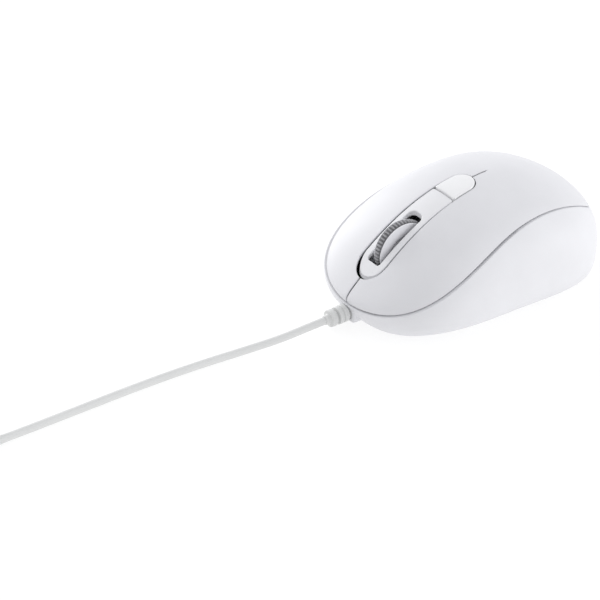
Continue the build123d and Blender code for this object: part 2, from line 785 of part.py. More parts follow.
def glide_foot(rear):
    """A thin crescent of slippery plastic under one end of the base."""
    sides = 70.0
    with BuildPart() as foot:
        for inset, mode in zip(GLIDE_INSETS, (Mode.ADD, Mode.SUBTRACT)):
            with BuildSketch():
                with BuildLine():
                    Spline(*level_points(FOOT_Z, inset), periodic=True)
                make_face()
            extrude(amount=FOOT_Z, mode=mode)
        keep_from, keep_to = (GLIDE_REAR_Y, sides) if rear else (-sides, GLIDE_FRONT_Y)
        add(slab(-sides, sides, keep_from, keep_to), mode=Mode.INTERSECT)
    return foot.part


# ---- cable, strain relief and plug ------------------------------------------------------------------
RELIEF_CORE_R = 1.9
RELIEF_TIP_R = 1.7
RING_INNER_R = 1.5
RING_CORNER_R = 0.4
# Each ring of the boot: its start and end ahead of the collar's face, and its radius.
RINGS = [
    (0.7, 2.5, 3.0),
    (2.9, 4.5, 3.0),
    (5.2, 7.4, 2.9),
]


def strain_relief():
    """A ribbed boot round the cable, its root held in the collar of the base."""
    axis = Axis((0, 0, EXIT_Z), (0, -1, 0))
    with BuildPart() as relief:
        with BuildSketch(Plane.YZ):
            with BuildLine():
                Polyline(
                    (RELIEF_START_Y, EXIT_Z),
                    (RELIEF_START_Y, EXIT_Z + RELIEF_R),
                    (COLLAR_FRONT_Y, EXIT_Z + RELIEF_R),
                    (COLLAR_FRONT_Y, EXIT_Z + RELIEF_CORE_R),
                    (RELIEF_END_Y, EXIT_Z + RELIEF_TIP_R),
                    (RELIEF_END_Y, EXIT_Z),
                    close=True,
                )
            make_face()
            for start, end, radius in RINGS:
                middle_y = COLLAR_FRONT_Y - (start + end) / 2
                with Locations((middle_y, EXIT_Z + (RING_INNER_R + radius) / 2)):
                    RectangleRounded(end - start, radius - RING_INNER_R, RING_CORNER_R)
        revolve(axis=axis)
    return relief.part


# The cable leaves the boot, comes down to the desk and runs ahead in a slight bend.
CABLE_R = CABLE_D / 2
CABLE_POINTS = [
    (0.0, RELIEF_END_Y, EXIT_Z),
    (0.0, -64.5, EXIT_Z),
    (-1.2, -74.0, 2.5),
    (-3.8, -86.0, 1.5),
    (-6.2, -103.0, CABLE_R),
    (-7.5, -122.0, CABLE_R),
    (-8.0, -142.0, CABLE_R),
    (-8.4, -161.0, CABLE_R),
    (-9.0, -178.0, CABLE_R),
]
COIL_CENTRE = (-9.0 - COIL_TURN_D / 2, -190.0)
COIL_OUTER_R = COIL_TURN_D / 2 + COIL_COLUMNS / 2 * CABLE_D
COIL_INNER_R = COIL_TURN_D / 2 - COIL_COLUMNS / 2 * CABLE_D
COIL_HEIGHT = COIL_LAYERS * CABLE_D


def corner_radii(points):
    """The largest arc that each corner's two runs leave room for."""
    radii = []
    for before, corner, after in zip(points, points[1:], points[2:]):
        first = Vector(*corner) - Vector(*before)
        second = Vector(*after) - Vector(*corner)
        half_turn = radians(first.get_angle(second)) / 2
        radii.append(0.45 * min(first.length, second.length) / tan(half_turn))
    return radii


def cable():
    radii = corner_radii(CABLE_POINTS)
    with BuildPart() as tube:
        with BuildLine():
            route = FilletPolyline(*CABLE_POINTS, radius=radii)
        with BuildSketch(Plane(origin=CABLE_POINTS[0], z_dir=route % 0)):
            Circle(CABLE_R)
        sweep()
    expected = pi * CABLE_R**2 * route.length
    print("cable radii", [round(radius) for radius in radii])
    print("cable length", round(route.length, 1))
    print("cable volume", round(tube.part.volume), "expected", round(expected))
    with BuildPart() as trimmed:
        add(tube.part)
        add(cable_coil(), mode=Mode.SUBTRACT)
    return trimmed.part


def cable_coil():
    """The outer shape of the put-away length, wound flat on the desk."""
    with BuildPart() as coil:
        with BuildSketch():
            with Locations(COIL_CENTRE):
                Circle(COIL_OUTER_R)
                Circle(COIL_INNER_R, mode=Mode.SUBTRACT)
        extrude(amount=COIL_HEIGHT)
        fillet(coil.edges().filter_by(GeomType.CIRCLE), CABLE_R)
    return coil.part


# The plug lies beside the coil, pointing along -X.
PLUG_X = -38.0
PLUG_Y = COIL_CENTRE[1] - COIL_OUTER_R + CABLE_R
PLUG_Z = 3.9
PLUG_GRIP = (17.0, 15.4, 7.8)  # along X, along Y, height
PLUG_NECK = 7.0
PLUG_NECK_R = 3.2
USB_SHELL = (14.0, 12.0, 4.5)
USB_SHELL_WALL = 0.35
USB_ROOT_X = PLUG_X - PLUG_NECK - PLUG_GRIP[0]
USB_FLANGE = 0.5
LATCH_WINDOW = 2.4
LATCH_SPACING = 5.0
LATCH_DEPTH = 8.0  # from the grip to the middle of the latch windows
TONGUE_THICK = 1.9
CONTACT = (1.0, 0.3)  # width and thickness
CONTACT_PITCH = 2.2


def cable_end():
    """The short stretch from the coil to the plug."""
    with BuildPart() as tube:
        add(cylinder_x(CABLE_R, PLUG_X, COIL_CENTRE[0], PLUG_Y, PLUG_Z))
        add(cable_coil(), mode=Mode.SUBTRACT)
    return tube.part


def usb_grip():
    """The moulded grip of the plug and its tapered neck."""
    length, width, height = PLUG_GRIP
    body_x = PLUG_X - PLUG_NECK
    with BuildPart() as grip:
        with Locations((body_x - length / 2, PLUG_Y, PLUG_Z)):
            Box(length, width, height)
        fillet(grip.edges().filter_by(Axis.X), 2.0)
        fillet(grip.faces().sort_by(Axis.X)[-1].edges(), 1.2)
        with BuildSketch(Plane.YZ.offset(body_x - 0.5)):
            with Locations((PLUG_Y, PLUG_Z)):
                Circle(PLUG_NECK_R)
        with BuildSketch(Plane.YZ.offset(PLUG_X)):
            with Locations((PLUG_Y, PLUG_Z)):
                Circle(CABLE_R + 0.7)
        loft()
    return grip.part


def usb_shell():
    """The folded metal sleeve of the plug, open at its end, with four latch windows."""
    length, width, height = USB_SHELL
    middle_x = USB_ROOT_X - length / 2
    with BuildPart() as sleeve:
        with Locations((middle_x, PLUG_Y, PLUG_Z)):
            Box(length, width, height)
        fillet(sleeve.edges().filter_by(Axis.X), 0.5)
        inner = (width - 2 * USB_SHELL_WALL, height - 2 * USB_SHELL_WALL)
        with Locations((middle_x - USB_FLANGE, PLUG_Y, PLUG_Z)):
            Box(length, *inner, mode=Mode.SUBTRACT)
        with Locations((USB_ROOT_X - LATCH_DEPTH, PLUG_Y, PLUG_Z)):
            with GridLocations(0, LATCH_SPACING, 1, 2):
                Box(LATCH_WINDOW, LATCH_WINDOW, 2 * height, mode=Mode.SUBTRACT)
    return sleeve.part


def usb_tongue():
    """The plastic tongue inside the sleeve, with four contact strips let into it."""
    length, width, height = USB_SHELL
    root_x = USB_ROOT_X - USB_FLANGE
    floor_z = PLUG_Z - height / 2 + USB_SHELL_WALL
    half_width = width / 2 - USB_SHELL_WALL
    tongue = slab(
        root_x - length + 2.0,
        root_x,
        PLUG_Y - half_width,
        PLUG_Y + half_width,
        floor_z,
        floor_z + TONGUE_THICK,
    )
    with BuildPart() as piece:
        add(tongue)
        add(usb_contacts(), mode=Mode.SUBTRACT)
    return piece.part


def usb_contacts():
    """Four strips let into the top of the tongue."""
    length, _, height = USB_SHELL
    width, thick = CONTACT
    middle_x = USB_ROOT_X - USB_FLANGE - length / 2 + 0.4
    top_z = PLUG_Z - height / 2 + USB_SHELL_WALL + TONGUE_THICK
    with BuildPart() as strips:
        with Locations((middle_x, PLUG_Y, top_z - thick / 2)):
            with GridLocations(0, CONTACT_PITCH, 1, 4):
                Box(length - 4.0, width, thick)
    return strips.part


def main():
    shell = upper_shell()
    save(top_cover(shell), "top_cover")
    save(key(shell, -1), "left_button")
    save(key(shell, 1), "right_button")
    save(base_shell(), "base_shell")
    save(centre_strip(), "centre_strip")
    save(dpi_button(), "dpi_button")
    save(wheel_hub(), "wheel_hub")
    save(wheel_tyre(), "wheel_tyre")
    save(wheel_cradle(), "wheel_cradle")
    save(cradle_bracket(), "cradle_bracket")
    save(cradle_pin(), "cradle_pin")
    save(encoder_body(), "encoder_body")
    save(encoder_rotor(), "encoder_rotor")
    save(circuit_board(), "circuit_board")
    switches = {
        "left": (-KEY_SWITCH_X, KEY_SWITCH_Y, KEY_SWITCH, 0.4),
        "right": (KEY_SWITCH_X, KEY_SWITCH_Y, KEY_SWITCH, 0.4),
        "middle": (0.0, CRADLE_BAR_Y, TACT_SWITCH, 0.3),
        "dpi": (0.0, DPI_SWITCH_Y, TACT_SWITCH, 0.3),
    }
    for name, (x, y, size, bevel) in switches.items():
        save(switch_case(x, y, size, bevel), f"{name}_switch")
        save(switch_plunger(x, y, size), f"{name}_plunger")
    save(sensor_chip(), "sensor_chip")
    save(sensor_lens(), "sensor_lens")
    save(led_lamp(), "led_lamp")
    save(controller_chip(), "controller_chip")
    save(capacitor(), "capacitor")
    save(cable_connector(), "cable_connector")
    save(inner_lead(), "inner_lead")
    save(board_screws(), "board_screws")
    save(case_screw(), "case_screw")
    save(glide_foot(rear=False), "front_glide_foot")
    save(glide_foot(rear=True), "rear_glide_foot")
    save(strain_relief(), "strain_relief")
    save(cable(), "cable")
    save(cable_coil(), "cable_coil")
    save(cable_end(), "cable_end")
    save(usb_grip(), "usb_grip")
    save(usb_shell(), "usb_shell")
    save(usb_tongue(), "usb_tongue")
    save(usb_contacts(), "usb_contacts")


main()
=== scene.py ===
import json
from math import cos, pi, radians, sin

import bmesh
import bpy
import numpy as np
from mathutils import Matrix, Vector


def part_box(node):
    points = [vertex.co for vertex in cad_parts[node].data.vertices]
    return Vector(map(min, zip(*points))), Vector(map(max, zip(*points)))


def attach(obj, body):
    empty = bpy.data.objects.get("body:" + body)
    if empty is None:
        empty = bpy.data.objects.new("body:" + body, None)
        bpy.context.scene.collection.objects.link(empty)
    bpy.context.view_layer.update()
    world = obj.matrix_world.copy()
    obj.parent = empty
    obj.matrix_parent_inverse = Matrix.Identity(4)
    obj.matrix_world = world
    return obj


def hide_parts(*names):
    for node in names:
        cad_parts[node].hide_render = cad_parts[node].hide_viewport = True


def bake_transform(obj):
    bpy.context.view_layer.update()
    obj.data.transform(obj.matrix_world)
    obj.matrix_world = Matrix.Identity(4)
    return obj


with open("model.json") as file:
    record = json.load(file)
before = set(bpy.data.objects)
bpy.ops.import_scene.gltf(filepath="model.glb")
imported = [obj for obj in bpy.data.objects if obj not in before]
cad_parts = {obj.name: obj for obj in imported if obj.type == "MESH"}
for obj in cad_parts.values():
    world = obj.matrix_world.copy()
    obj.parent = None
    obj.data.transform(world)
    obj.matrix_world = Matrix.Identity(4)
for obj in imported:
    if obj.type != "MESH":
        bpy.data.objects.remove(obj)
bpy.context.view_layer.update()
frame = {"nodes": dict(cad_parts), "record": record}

# A small wired computer mouse in white plastic. Shapes are worked out in millimetres, in the
# frame of the CAD model (+Z up, nose and cable along -Y), and become metres in new_mesh().
MM = 0.001
WELD_DISTANCE = 1e-4

# ---- the body's shape, as the CAD model has it -------------------------------------------
HALF_LENGTH = 49.0
HALF_WIDTH = 33.7
BELT_Z = 8.0
FOOT_Z = 0.6
WALL = 1.8
FLOOR = 2.0
SIDE_POWER = 1.85
NOSE_POWER = 3.6
TAIL_POWER = 3.25
DOME_POWER = 2.73
DOME_RISE = (28.7, 6.3, -16.5, 0.6)
FOOT_NOSE = 44.0
FOOT_TAIL = 42.5
FOOT_HALF_WIDTH = (26.9, 5.4, 6.9)
FOOT_SIDE_POWER = 2.95
FOOT_NOSE_POWER = 2.75
FOOT_TAIL_POWER = 2.55
SEAM = (28.8, 10.5, -19.0, -7.7)
HALF_GAP = 0.3  # half of the seam, and half of the slit between the keys
SLIT_END_Y = 9.1
OUTLINE_CENTRE_Y = 5.0  # rays in plan start here

STRIP_FRONT_R = 5.5
STRIP_FRONT_Y = -36.4
OPENING_FRONT_Y = -36.9
STRIP_REAR_R = 4.9
STRIP_REAR_Y = -2.3
STRIP_SPLIT_Y = -9.2
STRIP_GAP = 0.35
STRIP_RECESS = 0.2
STRIP_WALL = 1.6
DPI_RAISE = 0.3
SLOT_HALF_WIDTH = 3.1
SLOT_FRONT_Y = -38.0
SLOT_REAR_Y = -19.4
SLOT_FRONT_CORNER_R = 1.0
SLOT_REAR_CORNER_R = 2.2


def millimetres(corner):
    return np.array(corner) / MM


def middle_of(node):
    low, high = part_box(node)
    return (millimetres(low) + millimetres(high)) / 2


def add_object(name, data):
    """A new object in the scene."""
    piece = bpy.data.objects.new(name, data)
    bpy.context.scene.collection.objects.link(piece)
    return piece


# ---- camera --------------------------------------------------------------------------------
CAMERA_AZIMUTH = radians(54.07)
CAMERA_ELEVATION = radians(33.78)
CAMERA_DISTANCE = 0.8
CAMERA_LENS = 143.7
AIM = Vector((0, 0, 0.015))  # a point in the body, which the lights face too
AIM_RIGHT = 0.0544  # how far it is to the right of the view's middle
AIM_UP = 0.02145  # and how far above it


def towards(azimuth, elevation):
    """A direction from the mouse. Azimuth 0 is straight ahead of the nose, 90 on the right."""
    return Vector((sin(azimuth) * cos(elevation), -cos(azimuth) * cos(elevation), sin(elevation)))


def make_camera():
    """The photograph's view: from ahead of the nose, to the right of it and above."""
    right = Vector((cos(CAMERA_AZIMUTH), sin(CAMERA_AZIMUTH), 0))
    back = towards(CAMERA_AZIMUTH, CAMERA_ELEVATION)
    up = back.cross(right)
    data = bpy.data.cameras.new("camera")
    data.lens = CAMERA_LENS
    data.sensor_width = 36.0
    data.clip_start = 0.05
    data.clip_end = 20.0
    camera = add_object("camera", data)
    turn = Matrix((right, up, back)).transposed().to_4x4()
    place = AIM + back * CAMERA_DISTANCE - right * AIM_RIGHT - up * AIM_UP
    camera.matrix_world = Matrix.Translation(place) @ turn
    bpy.context.scene.camera = camera


# ---- mesh helpers ----------------------------------------------------------------------------
def weld(points, faces, normals):
    """Merges points that coincide, and drops the faces that this closes up."""
    keys = np.round(points / WELD_DISTANCE).astype(np.int64)
    _, first, number = np.unique(keys, axis=0, return_index=True, return_inverse=True)
    number = number.reshape(-1)
    kept = []
    for face in faces:
        ring = []
        for corner in number[list(face)]:
            if not ring or corner != ring[-1]:
                ring.append(int(corner))
        if len(ring) > 1 and ring[0] == ring[-1]:
            ring.pop()
        if len(ring) > 2 and len(set(ring)) == len(ring):
            kept.append(ring)
    return points[first], kept, None if normals is None else normals[first]


def new_mesh(name, points, faces, normals=None, sharp_degrees=30):
    """A closed mesh object from points in millimetres. normals gives each point's own direction;
    without it, edges over sharp_degrees are sharp."""
    points, faces, normals = weld(np.asarray(points, float), faces, normals)
    mesh = bpy.data.meshes.new(name)
    mesh.from_pydata((points * MM).tolist(), [], faces)
    work = bmesh.new()
    work.from_mesh(mesh)
    bmesh.ops.recalc_face_normals(work, faces=work.faces)
    work.to_mesh(mesh)
    work.free()
    mesh.shade_smooth()
    if normals is None:
        mesh.set_sharp_from_angle(angle=radians(sharp_degrees))
    else:
        mesh.normals_split_custom_set_from_vertices(normals.tolist())
    return add_object(name, mesh)


def unit(vectors):
    """The vectors at a length of 1."""
    return vectors / np.maximum(np.linalg.norm(vectors, axis=-1, keepdims=True), 1e-12)


def grid_faces(rows, columns, start=0, closed_rows=False, closed_columns=False, flip=False):
    """The quads of a grid of points numbered row by row."""
    faces = []
    for i in range(rows if closed_rows else rows - 1):
        for j in range(columns if closed_columns else columns - 1):
            near, far = i * columns, (i + 1) % rows * columns
            right = (j + 1) % columns
            quad = (start + near + j, start + far + j, start + far + right, start + near + right)
            faces.append(quad[::-1] if flip else quad)
    return faces


class Build:
    """Collects points and faces of one piece made from several grids."""

    def __init__(self):
        self.points = []
        self.faces = []
        self.count = 0

    def grid(self, points, closed_rows=False, closed_columns=False, flip=False):
        """Adds a grid of points shaped (rows, columns, 3) and returns its first number."""
        rows, columns = points.shape[:2]
        start = self.count
        self.points.append(points.reshape(-1, 3))
        self.faces += grid_faces(rows, columns, start, closed_rows, closed_columns, flip)
        self.count += rows * columns
        return start

    def fan(self, ring, centre, flip=False):
        """Closes a ring of point numbers with triangles to a new centre point."""
        self.points.append(np.asarray(centre, float).reshape(1, 3))
        middle = self.count
        self.count += 1
        for a, b in zip(ring, ring[1:] + ring[:1]):
            self.faces.append((b, a, middle) if flip else (a, b, middle))

    def mesh(self, name, **options):
        return new_mesh(name, np.concatenate(self.points), self.faces, **options)


def lathe(profile, axis_point, axis, segments=64):
    """Points shaped (segments, profile, 3): a profile of (along, radius) turned about an axis."""
    axis = np.array(axis, float)
    side = np.array([0.0, 0.0, 1.0]) if abs(axis[2]) < 0.5 else np.array([1.0, 0.0, 0.0])
    other = np.cross(axis, side)
    turn = np.linspace(0, 2 * pi, segments, endpoint=False)[:, None, None]
    along = np.array([p[0] for p in profile])[None, :, None]
    radius = np.array([p[1] for p in profile])[None, :, None]
    around = np.cos(turn) * side + np.sin(turn) * other
    return np.asarray(axis_point, float) + along * axis + radius * around


def curve(start, corner, end, share):
    """A point of the curve that rounds off a corner."""
    return (1 - share) ** 2 * start + 2 * share * (1 - share) * corner + share**2 * end


def rounded(corners, radius, steps=4):
    """A closed profile of (along, radius) corners, each rounded by short runs."""
    out = []
    count = len(corners)
    for index, corner in enumerate(corners):
        corner = np.array(corner, float)
        before = np.array(corners[index - 1], float)
        after = np.array(corners[(index + 1) % count], float)
        cut = min(radius, np.linalg.norm(before - corner) / 2.2, np.linalg.norm(after - corner) / 2.2)
        start = corner + (before - corner) / np.linalg.norm(before - corner) * cut
        end = corner + (after - corner) / np.linalg.norm(after - corner) * cut
        out += [curve(start, corner, end, step / steps) for step in range(steps + 1)]
    return out


# ---- the analytic skin -------------------------------------------------------------------------
HALVINGS = 44  # steps of the search for the skin along a ray
RAY_SOURCE_Z = -10.0  # rays start on the z axis, this far down
RAY_END = 60.0
SEAM_REACH = (1.0, 70.0)  # how far from the middle to look for the skin along the seam
OUTLINE_REACH = (1.0, 80.0)  # and along a level outline
SLOPE_STEP = 1e-3


def polynomial(terms, value):
    return sum(term * value**power for power, term in enumerate(terms))


def mix(first, second, share):
    return first + (second - first) * share


def smooth(share):
    """A share clipped to 0 and 1 and eased at both ends."""
    share = np.clip(share, 0, 1)
    return share * share * (3 - 2 * share)


def fullness(points, inset=0.0):
    """Less than 1 inside the body, 1 on its skin. An inset shrinks the body all round."""
    x, y, z = points[..., 0], points[..., 1], points[..., 2]
    along = y / HALF_LENGTH
    tuck = np.maximum(0.0, 1.0 - z / BELT_Z) ** 2
    nose = y < 0
    half_length = mix(HALF_LENGTH, np.where(nose, FOOT_NOSE, FOOT_TAIL), tuck) - inset
    half_width = mix(HALF_WIDTH, polynomial(FOOT_HALF_WIDTH, along), tuck) - inset
    side_power = mix(SIDE_POWER, FOOT_SIDE_POWER, tuck)
    belt_power = np.where(nose, NOSE_POWER, TAIL_POWER)
    foot_power = np.where(nose, FOOT_NOSE_POWER, FOOT_TAIL_POWER)
    end_power = mix(belt_power, foot_power, tuck)
    rise = np.maximum(0.0, z - BELT_Z) / np.maximum(0.1, polynomial(DOME_RISE, along) - inset)
    return (
        np.abs(x / half_width) ** side_power
        + np.abs(y / half_length) ** end_power
        + rise**DOME_POWER
    )


def last_inside(point_at, shape, near, far, inset):
    """Where each ray leaves the body, searched for between two distances. point_at turns an array
    of distances into points."""
    near, far = np.full(shape, near), np.full(shape, far)
    for _ in range(HALVINGS):
        middle = (near + far) / 2
        inside = fullness(point_at(middle), inset) < 1.0
        near = np.where(inside, middle, near)
        far = np.where(inside, far, middle)
    return point_at(near)


def skin_normals(points, inset=0.0):
    """Outward directions at points of the skin."""
    steps = np.eye(3) * SLOPE_STEP
    slopes = [fullness(points + step, inset) - fullness(points - step, inset) for step in steps]
    return unit(np.stack(slopes, axis=-1))


def skin_top(x, y, inset=0.0):
    """The point of the dome over each (x, y)."""
    along = y / HALF_LENGTH
    spread = (
        np.abs(x / (HALF_WIDTH - inset)) ** SIDE_POWER
        + np.abs(y / (HALF_LENGTH - inset)) ** np.where(y < 0, NOSE_POWER, TAIL_POWER)
    )
    rise = np.maximum(0.0, 1.0 - spread) ** (1 / DOME_POWER)
    z = BELT_Z + rise * (polynomial(DOME_RISE, along) - inset)
    return np.stack([x, y, z], axis=-1)


def seam_z(y):
    return polynomial(SEAM, y / HALF_LENGTH)


def slopes_of(points):
    """The slopes, in x and y, of the rays that reach the points."""
    height = points[..., 2] - RAY_SOURCE_Z
    return points[..., :2] / height[..., None]


def dome_at(slopes, inset=0.0):
    """The skin's points along rays from the source under the body."""

    def point_at(height):
        xy = slopes * height[..., None]
        return np.concatenate([xy, RAY_SOURCE_Z + height[..., None]], axis=-1)

    return last_inside(point_at, slopes.shape[:-1], -RAY_SOURCE_Z, RAY_END, inset)


# ---- rolled edges ----------------------------------------------------------------------------
ROLL = 0.22  # radius of the moulded edges
ROLL_STEPS = 4
ROLL_ANGLES = np.linspace(0, pi / 2, ROLL_STEPS + 1)[1:]


def rolled(count, first, last):
    """The roll angle of each row of a grid that gains rolled ones at its first or last row, and
    the old row that each belongs to."""
    angles = np.concatenate([
        -ROLL_ANGLES[::-1] if first else [], np.zeros(count), ROLL_ANGLES if last else []
    ])
    lead = ROLL_STEPS if first else 0
    return angles, np.clip(np.arange(len(angles)) - lead, 0, count - 1)


def outwards(along, beside, normals):
    """Directions that lie in the skin, square to an edge, the way that along goes."""
    out = unit(np.cross(beside, normals))
    return out * np.sign(np.sum(out * along, -1, keepdims=True))


def with_rolled_edges(points, normals, roll=ROLL, sides=(True, True, True, True), closed_rows=False):
    """A grid of skin points with its edges rolled down. sides: first row, last row, first column,
    last column. Returns the wider grid and its normals; its outermost points are on the wall."""
    row_angles, row_of = rolled(points.shape[0], *sides[:2])
    column_angles, column_of = rolled(points.shape[1], *sides[2:])

    def widened(values):
        return values[row_of][:, column_of]

    if closed_rows:
        along_rows = np.roll(points, -1, 0) - np.roll(points, 1, 0)
    else:
        along_rows = np.gradient(points, axis=0)
    along_columns = np.gradient(points, axis=1)
    out_row = widened(outwards(along_rows, along_columns, normals))
    out_column = widened(outwards(along_columns, along_rows, normals))
    up = widened(normals)
    a = np.sin(row_angles)[:, None, None]
    b = np.sin(column_angles)[None, :, None]
    across = a * np.sqrt(1 - b**2 / 2)
    beside = b * np.sqrt(1 - a**2 / 2)
    level = (np.cos(row_angles)[:, None] * np.cos(column_angles)[None, :])[..., None]
    offset = out_row * across + out_column * beside + up * level
    radius = widened(roll)[..., None] if isinstance(roll, np.ndarray) else roll
    return widened(points) + radius * (offset - up), unit(offset)


def close_shell(outer, inner, closed_rows=False):
    """A closed piece from an outer and an inner grid of the same size, joined round their edges."""
    rows, columns = outer.shape[:2]
    total = rows * columns
    faces = grid_faces(rows, columns, 0, closed_rows)
    faces += grid_faces(rows, columns, total, closed_rows, flip=True)
    edge = []
    if not closed_rows:
        edge += [(j, j + 1) for j in range(columns - 1)]
        last = (rows - 1) * columns
        edge += [(last + j + 1, last + j) for j in range(columns - 1)]
    for i in range(rows if closed_rows else rows - 1):
        near, far = i * columns, (i + 1) % rows * columns
        edge.append((far, near))
        edge.append((near + columns - 1, far + columns - 1))
    faces += [(a, b, total + b, total + a) for a, b in edge]
    points = np.concatenate([outer.reshape(-1, 3), inner.reshape(-1, 3)])
    return points, faces


# ---- upper cover: one moulding with two flexing keys, made as a left and a right half ---------
COVER_ROWS = 170
COVER_COLUMNS = 76
COLUMN_POWER = 1.25  # columns lie closer together near the console
ARC_POINTS = 60
SEAM_POINTS = 900
BAND_WIDTH = 5.5  # the rolled band above the seam, on the front half
BAND_DROP = 0.55
BAND_FULL_Y = -26.0
BAND_END_Y = -8.0
SEAM_ROLL = 0.16
SEAM_TAPER = 0.6
SEAM_FULL_Y = -20.0
SEAM_FINE_Y = 35.0
SLIT_ROUND = 1.0


def seam_width(y):
    """The seam's width as a share of its width at the nose."""
    return 1 - SEAM_TAPER * smooth((y - SEAM_FULL_Y) / (SEAM_FINE_Y - SEAM_FULL_Y))


def slit_share(y):
    """1 along the slit between the keys, falling to 0 round its rear end."""
    return np.sqrt(1 - np.clip((y - SLIT_END_Y + SLIT_ROUND) / SLIT_ROUND, 0, 1) ** 2)


def slice_at(x, slope_y, inset):
    """Skin points in upright planes x = constant, along rays of the given slopes."""

    def point_at(height):
        return np.stack([x + 0 * height, slope_y * height, RAY_SOURCE_Z + height], axis=-1)

    return last_inside(point_at, slope_y.shape, -RAY_SOURCE_Z, RAY_END, inset)


def seam_points(turn, shift, x_start, inset):
    """Points where the skin meets the seam, at each turn about the body. shift raises them, by
    less towards the rear, where the seam is finer."""

    def point_at(reach):
        x = x_start + reach * np.cos(turn)
        y = OUTLINE_CENTRE_Y + reach * np.sin(turn)
        return np.stack([x, y, seam_z(y) + shift * seam_width(y)], axis=-1)

    return last_inside(point_at, turn.shape, *SEAM_REACH, inset)


def resample(points, shares):
    """Points at the given shares of a polyline's length."""
    steps = np.linalg.norm(np.diff(points, axis=0), axis=1)
    reached = np.concatenate([[0], np.cumsum(steps)]) / steps.sum()
    return np.stack([np.interp(shares, reached, points[:, k]) for k in range(points.shape[1])], -1)


def console_side(front_r, front_y, rear_r, x_start):
    """The right side of a console outline in plan, from its front to its rear."""
    front = np.linspace(np.arcsin(x_start / front_r), pi / 2, ARC_POINTS)
    rear = np.linspace(0, pi / 2 - np.arcsin(x_start / rear_r), ARC_POINTS)
    front_arc = np.stack([front_r * np.sin(front), front_y - front_r * np.cos(front)], -1)
    rear_arc = np.stack([rear_r * np.cos(rear), STRIP_REAR_Y + rear_r * np.sin(rear)], -1)
    return np.concatenate([front_arc, rear_arc])


def cover_grid(rows, inset, grow, shares):
    """The right half of the cover between the console opening, the slits and the seam. It is
    blended from its four edges; shares place its columns between opening and seam."""
    gap = HALF_GAP + grow
    s = np.linspace(0, 1, rows)
    t = shares
    front_r = STRIP_FRONT_R + 2 * STRIP_GAP + grow
    rear_r = STRIP_REAR_R + STRIP_GAP + grow
    edge = resample(console_side(front_r, OPENING_FRONT_Y, rear_r, gap), s)
    opening = skin_top(edge[:, 0], edge[:, 1], inset)
    dense = np.linspace(-pi / 2, pi / 2, SEAM_POINTS)
    shift = HALF_GAP + (SEAM_ROLL if grow else 0.0)
    seam_line = seam_points(dense, shift, gap * (1 - (dense / pi + 0.5)), inset)
    seam = resample(seam_line, s)
    sides = []
    for start, end in ((opening[0], seam[0]), (opening[-1], seam[-1])):
        slope_start, slope_end = slopes_of(start)[1], slopes_of(end)[1]
        slope = mix(slope_start, slope_end, t)
        middle = slice_at(0.0, slope, inset)
        x = gap * slit_share(middle[:, 1])
        x = x + (start[0] - x[0]) * (1 - t) + (end[0] - x[-1]) * t
        sides.append(slice_at(x, slope, inset))
    front, rear = (slopes_of(side) for side in sides)
    opening, seam = slopes_of(opening), slopes_of(seam)
    s, t = s[:, None, None], t[None, :, None]
    slopes = (
        (1 - t) * opening[:, None] + t * seam[:, None]
        + (1 - s) * front[None] + s * rear[None]
        - (1 - s) * (1 - t) * opening[0] - s * (1 - t) * opening[-1]
        - (1 - s) * t * seam[0] - s * t * seam[-1]
    )
    return dome_at(slopes, inset)


def cover_half(side):
    """side is -1 for the half with the left key and 1 for the half with the right key."""
    shares = np.linspace(0, 1, COVER_COLUMNS) ** COLUMN_POWER
    outer = cover_grid(COVER_ROWS, 0.0, ROLL, shares)
    normals = skin_normals(outer)
    from_seam = np.linalg.norm(outer - outer[:, -1:], axis=-1)
    fade = smooth((BAND_END_Y - outer[:, -1:, 1]) / (BAND_END_Y - BAND_FULL_Y))
    band = np.clip(1 - from_seam / BAND_WIDTH, 0, 1) ** 2 * BAND_DROP * fade
    outer = outer - normals * band[..., None]
    roll = np.full(outer.shape[:2], ROLL)
    roll[-1] = np.maximum(ROLL * slit_share(outer[-1, :, 1]), 0.0)
    roll[:, -1] = SEAM_ROLL * seam_width(outer[:, -1, 1])
    outer, normals = with_rolled_edges(outer, normals, roll)
    wide = np.linspace(0, 1, COVER_COLUMNS + 2 * ROLL_STEPS) ** COLUMN_POWER
    inner = cover_grid(COVER_ROWS + 2 * ROLL_STEPS, WALL, 0.0, wide)
    inner_normals = -skin_normals(inner, WALL)
    points, faces = close_shell(outer, inner)
    normals = np.concatenate([normals.reshape(-1, 3), inner_normals.reshape(-1, 3)])
    if side < 0:
        points = points * (-1, 1, 1)
        normals = normals * (-1, 1, 1)
    name = "cover_left_half" if side < 0 else "cover_right_half"
    return new_mesh(name, points, faces, normals=normals)


# ---- lower shell -------------------------------------------------------------------------------
BASE_TURNS = 264
BASE_ROWS = 40
FLOOR_RINGS = (0.3, 0.6)
LIP_DROP = 0.7  # the wall's top edge slopes inwards, so the seam shows dark
FOOT_ROUND = 0.6
FOOT_STEPS = 5
BOSS_R = 3.2
BOSS_HOLE_R = 1.1
BOSS_TOP_Z = 15.0
POST_R = 2.2
POST_TOP_Z = 6.0
POST_HOLE_R = 0.9
POST_PLACES = [(-13, -34), (13, -34), (-14, 17), (14, 17)]
PEG_PLACES = [(-15, 27), (15, 27)]
SCREW_Y = 26.0
SCREW_HEAD_R = 2.2
SCREW_HEAD_Z = 2.2
SENSOR_Y = 8.0
SENSOR_WINDOW = (9.0, 14.0)
COLLAR_HALF_WIDTH = 4.2
COLLAR_TOP_Z = 6.8
COLLAR_EDGE = 0.4
COLLAR_TURNS = 96
COLLAR_SQUARENESS = 5.0
BOOT_PLAY = 0.05
HOLE_BEVEL = 0.2
COLLAR_FRONT_Y = -48.3
COLLAR_BACK_Y = -45.0
EXIT_Z = 3.6
RELIEF_R = 2.5


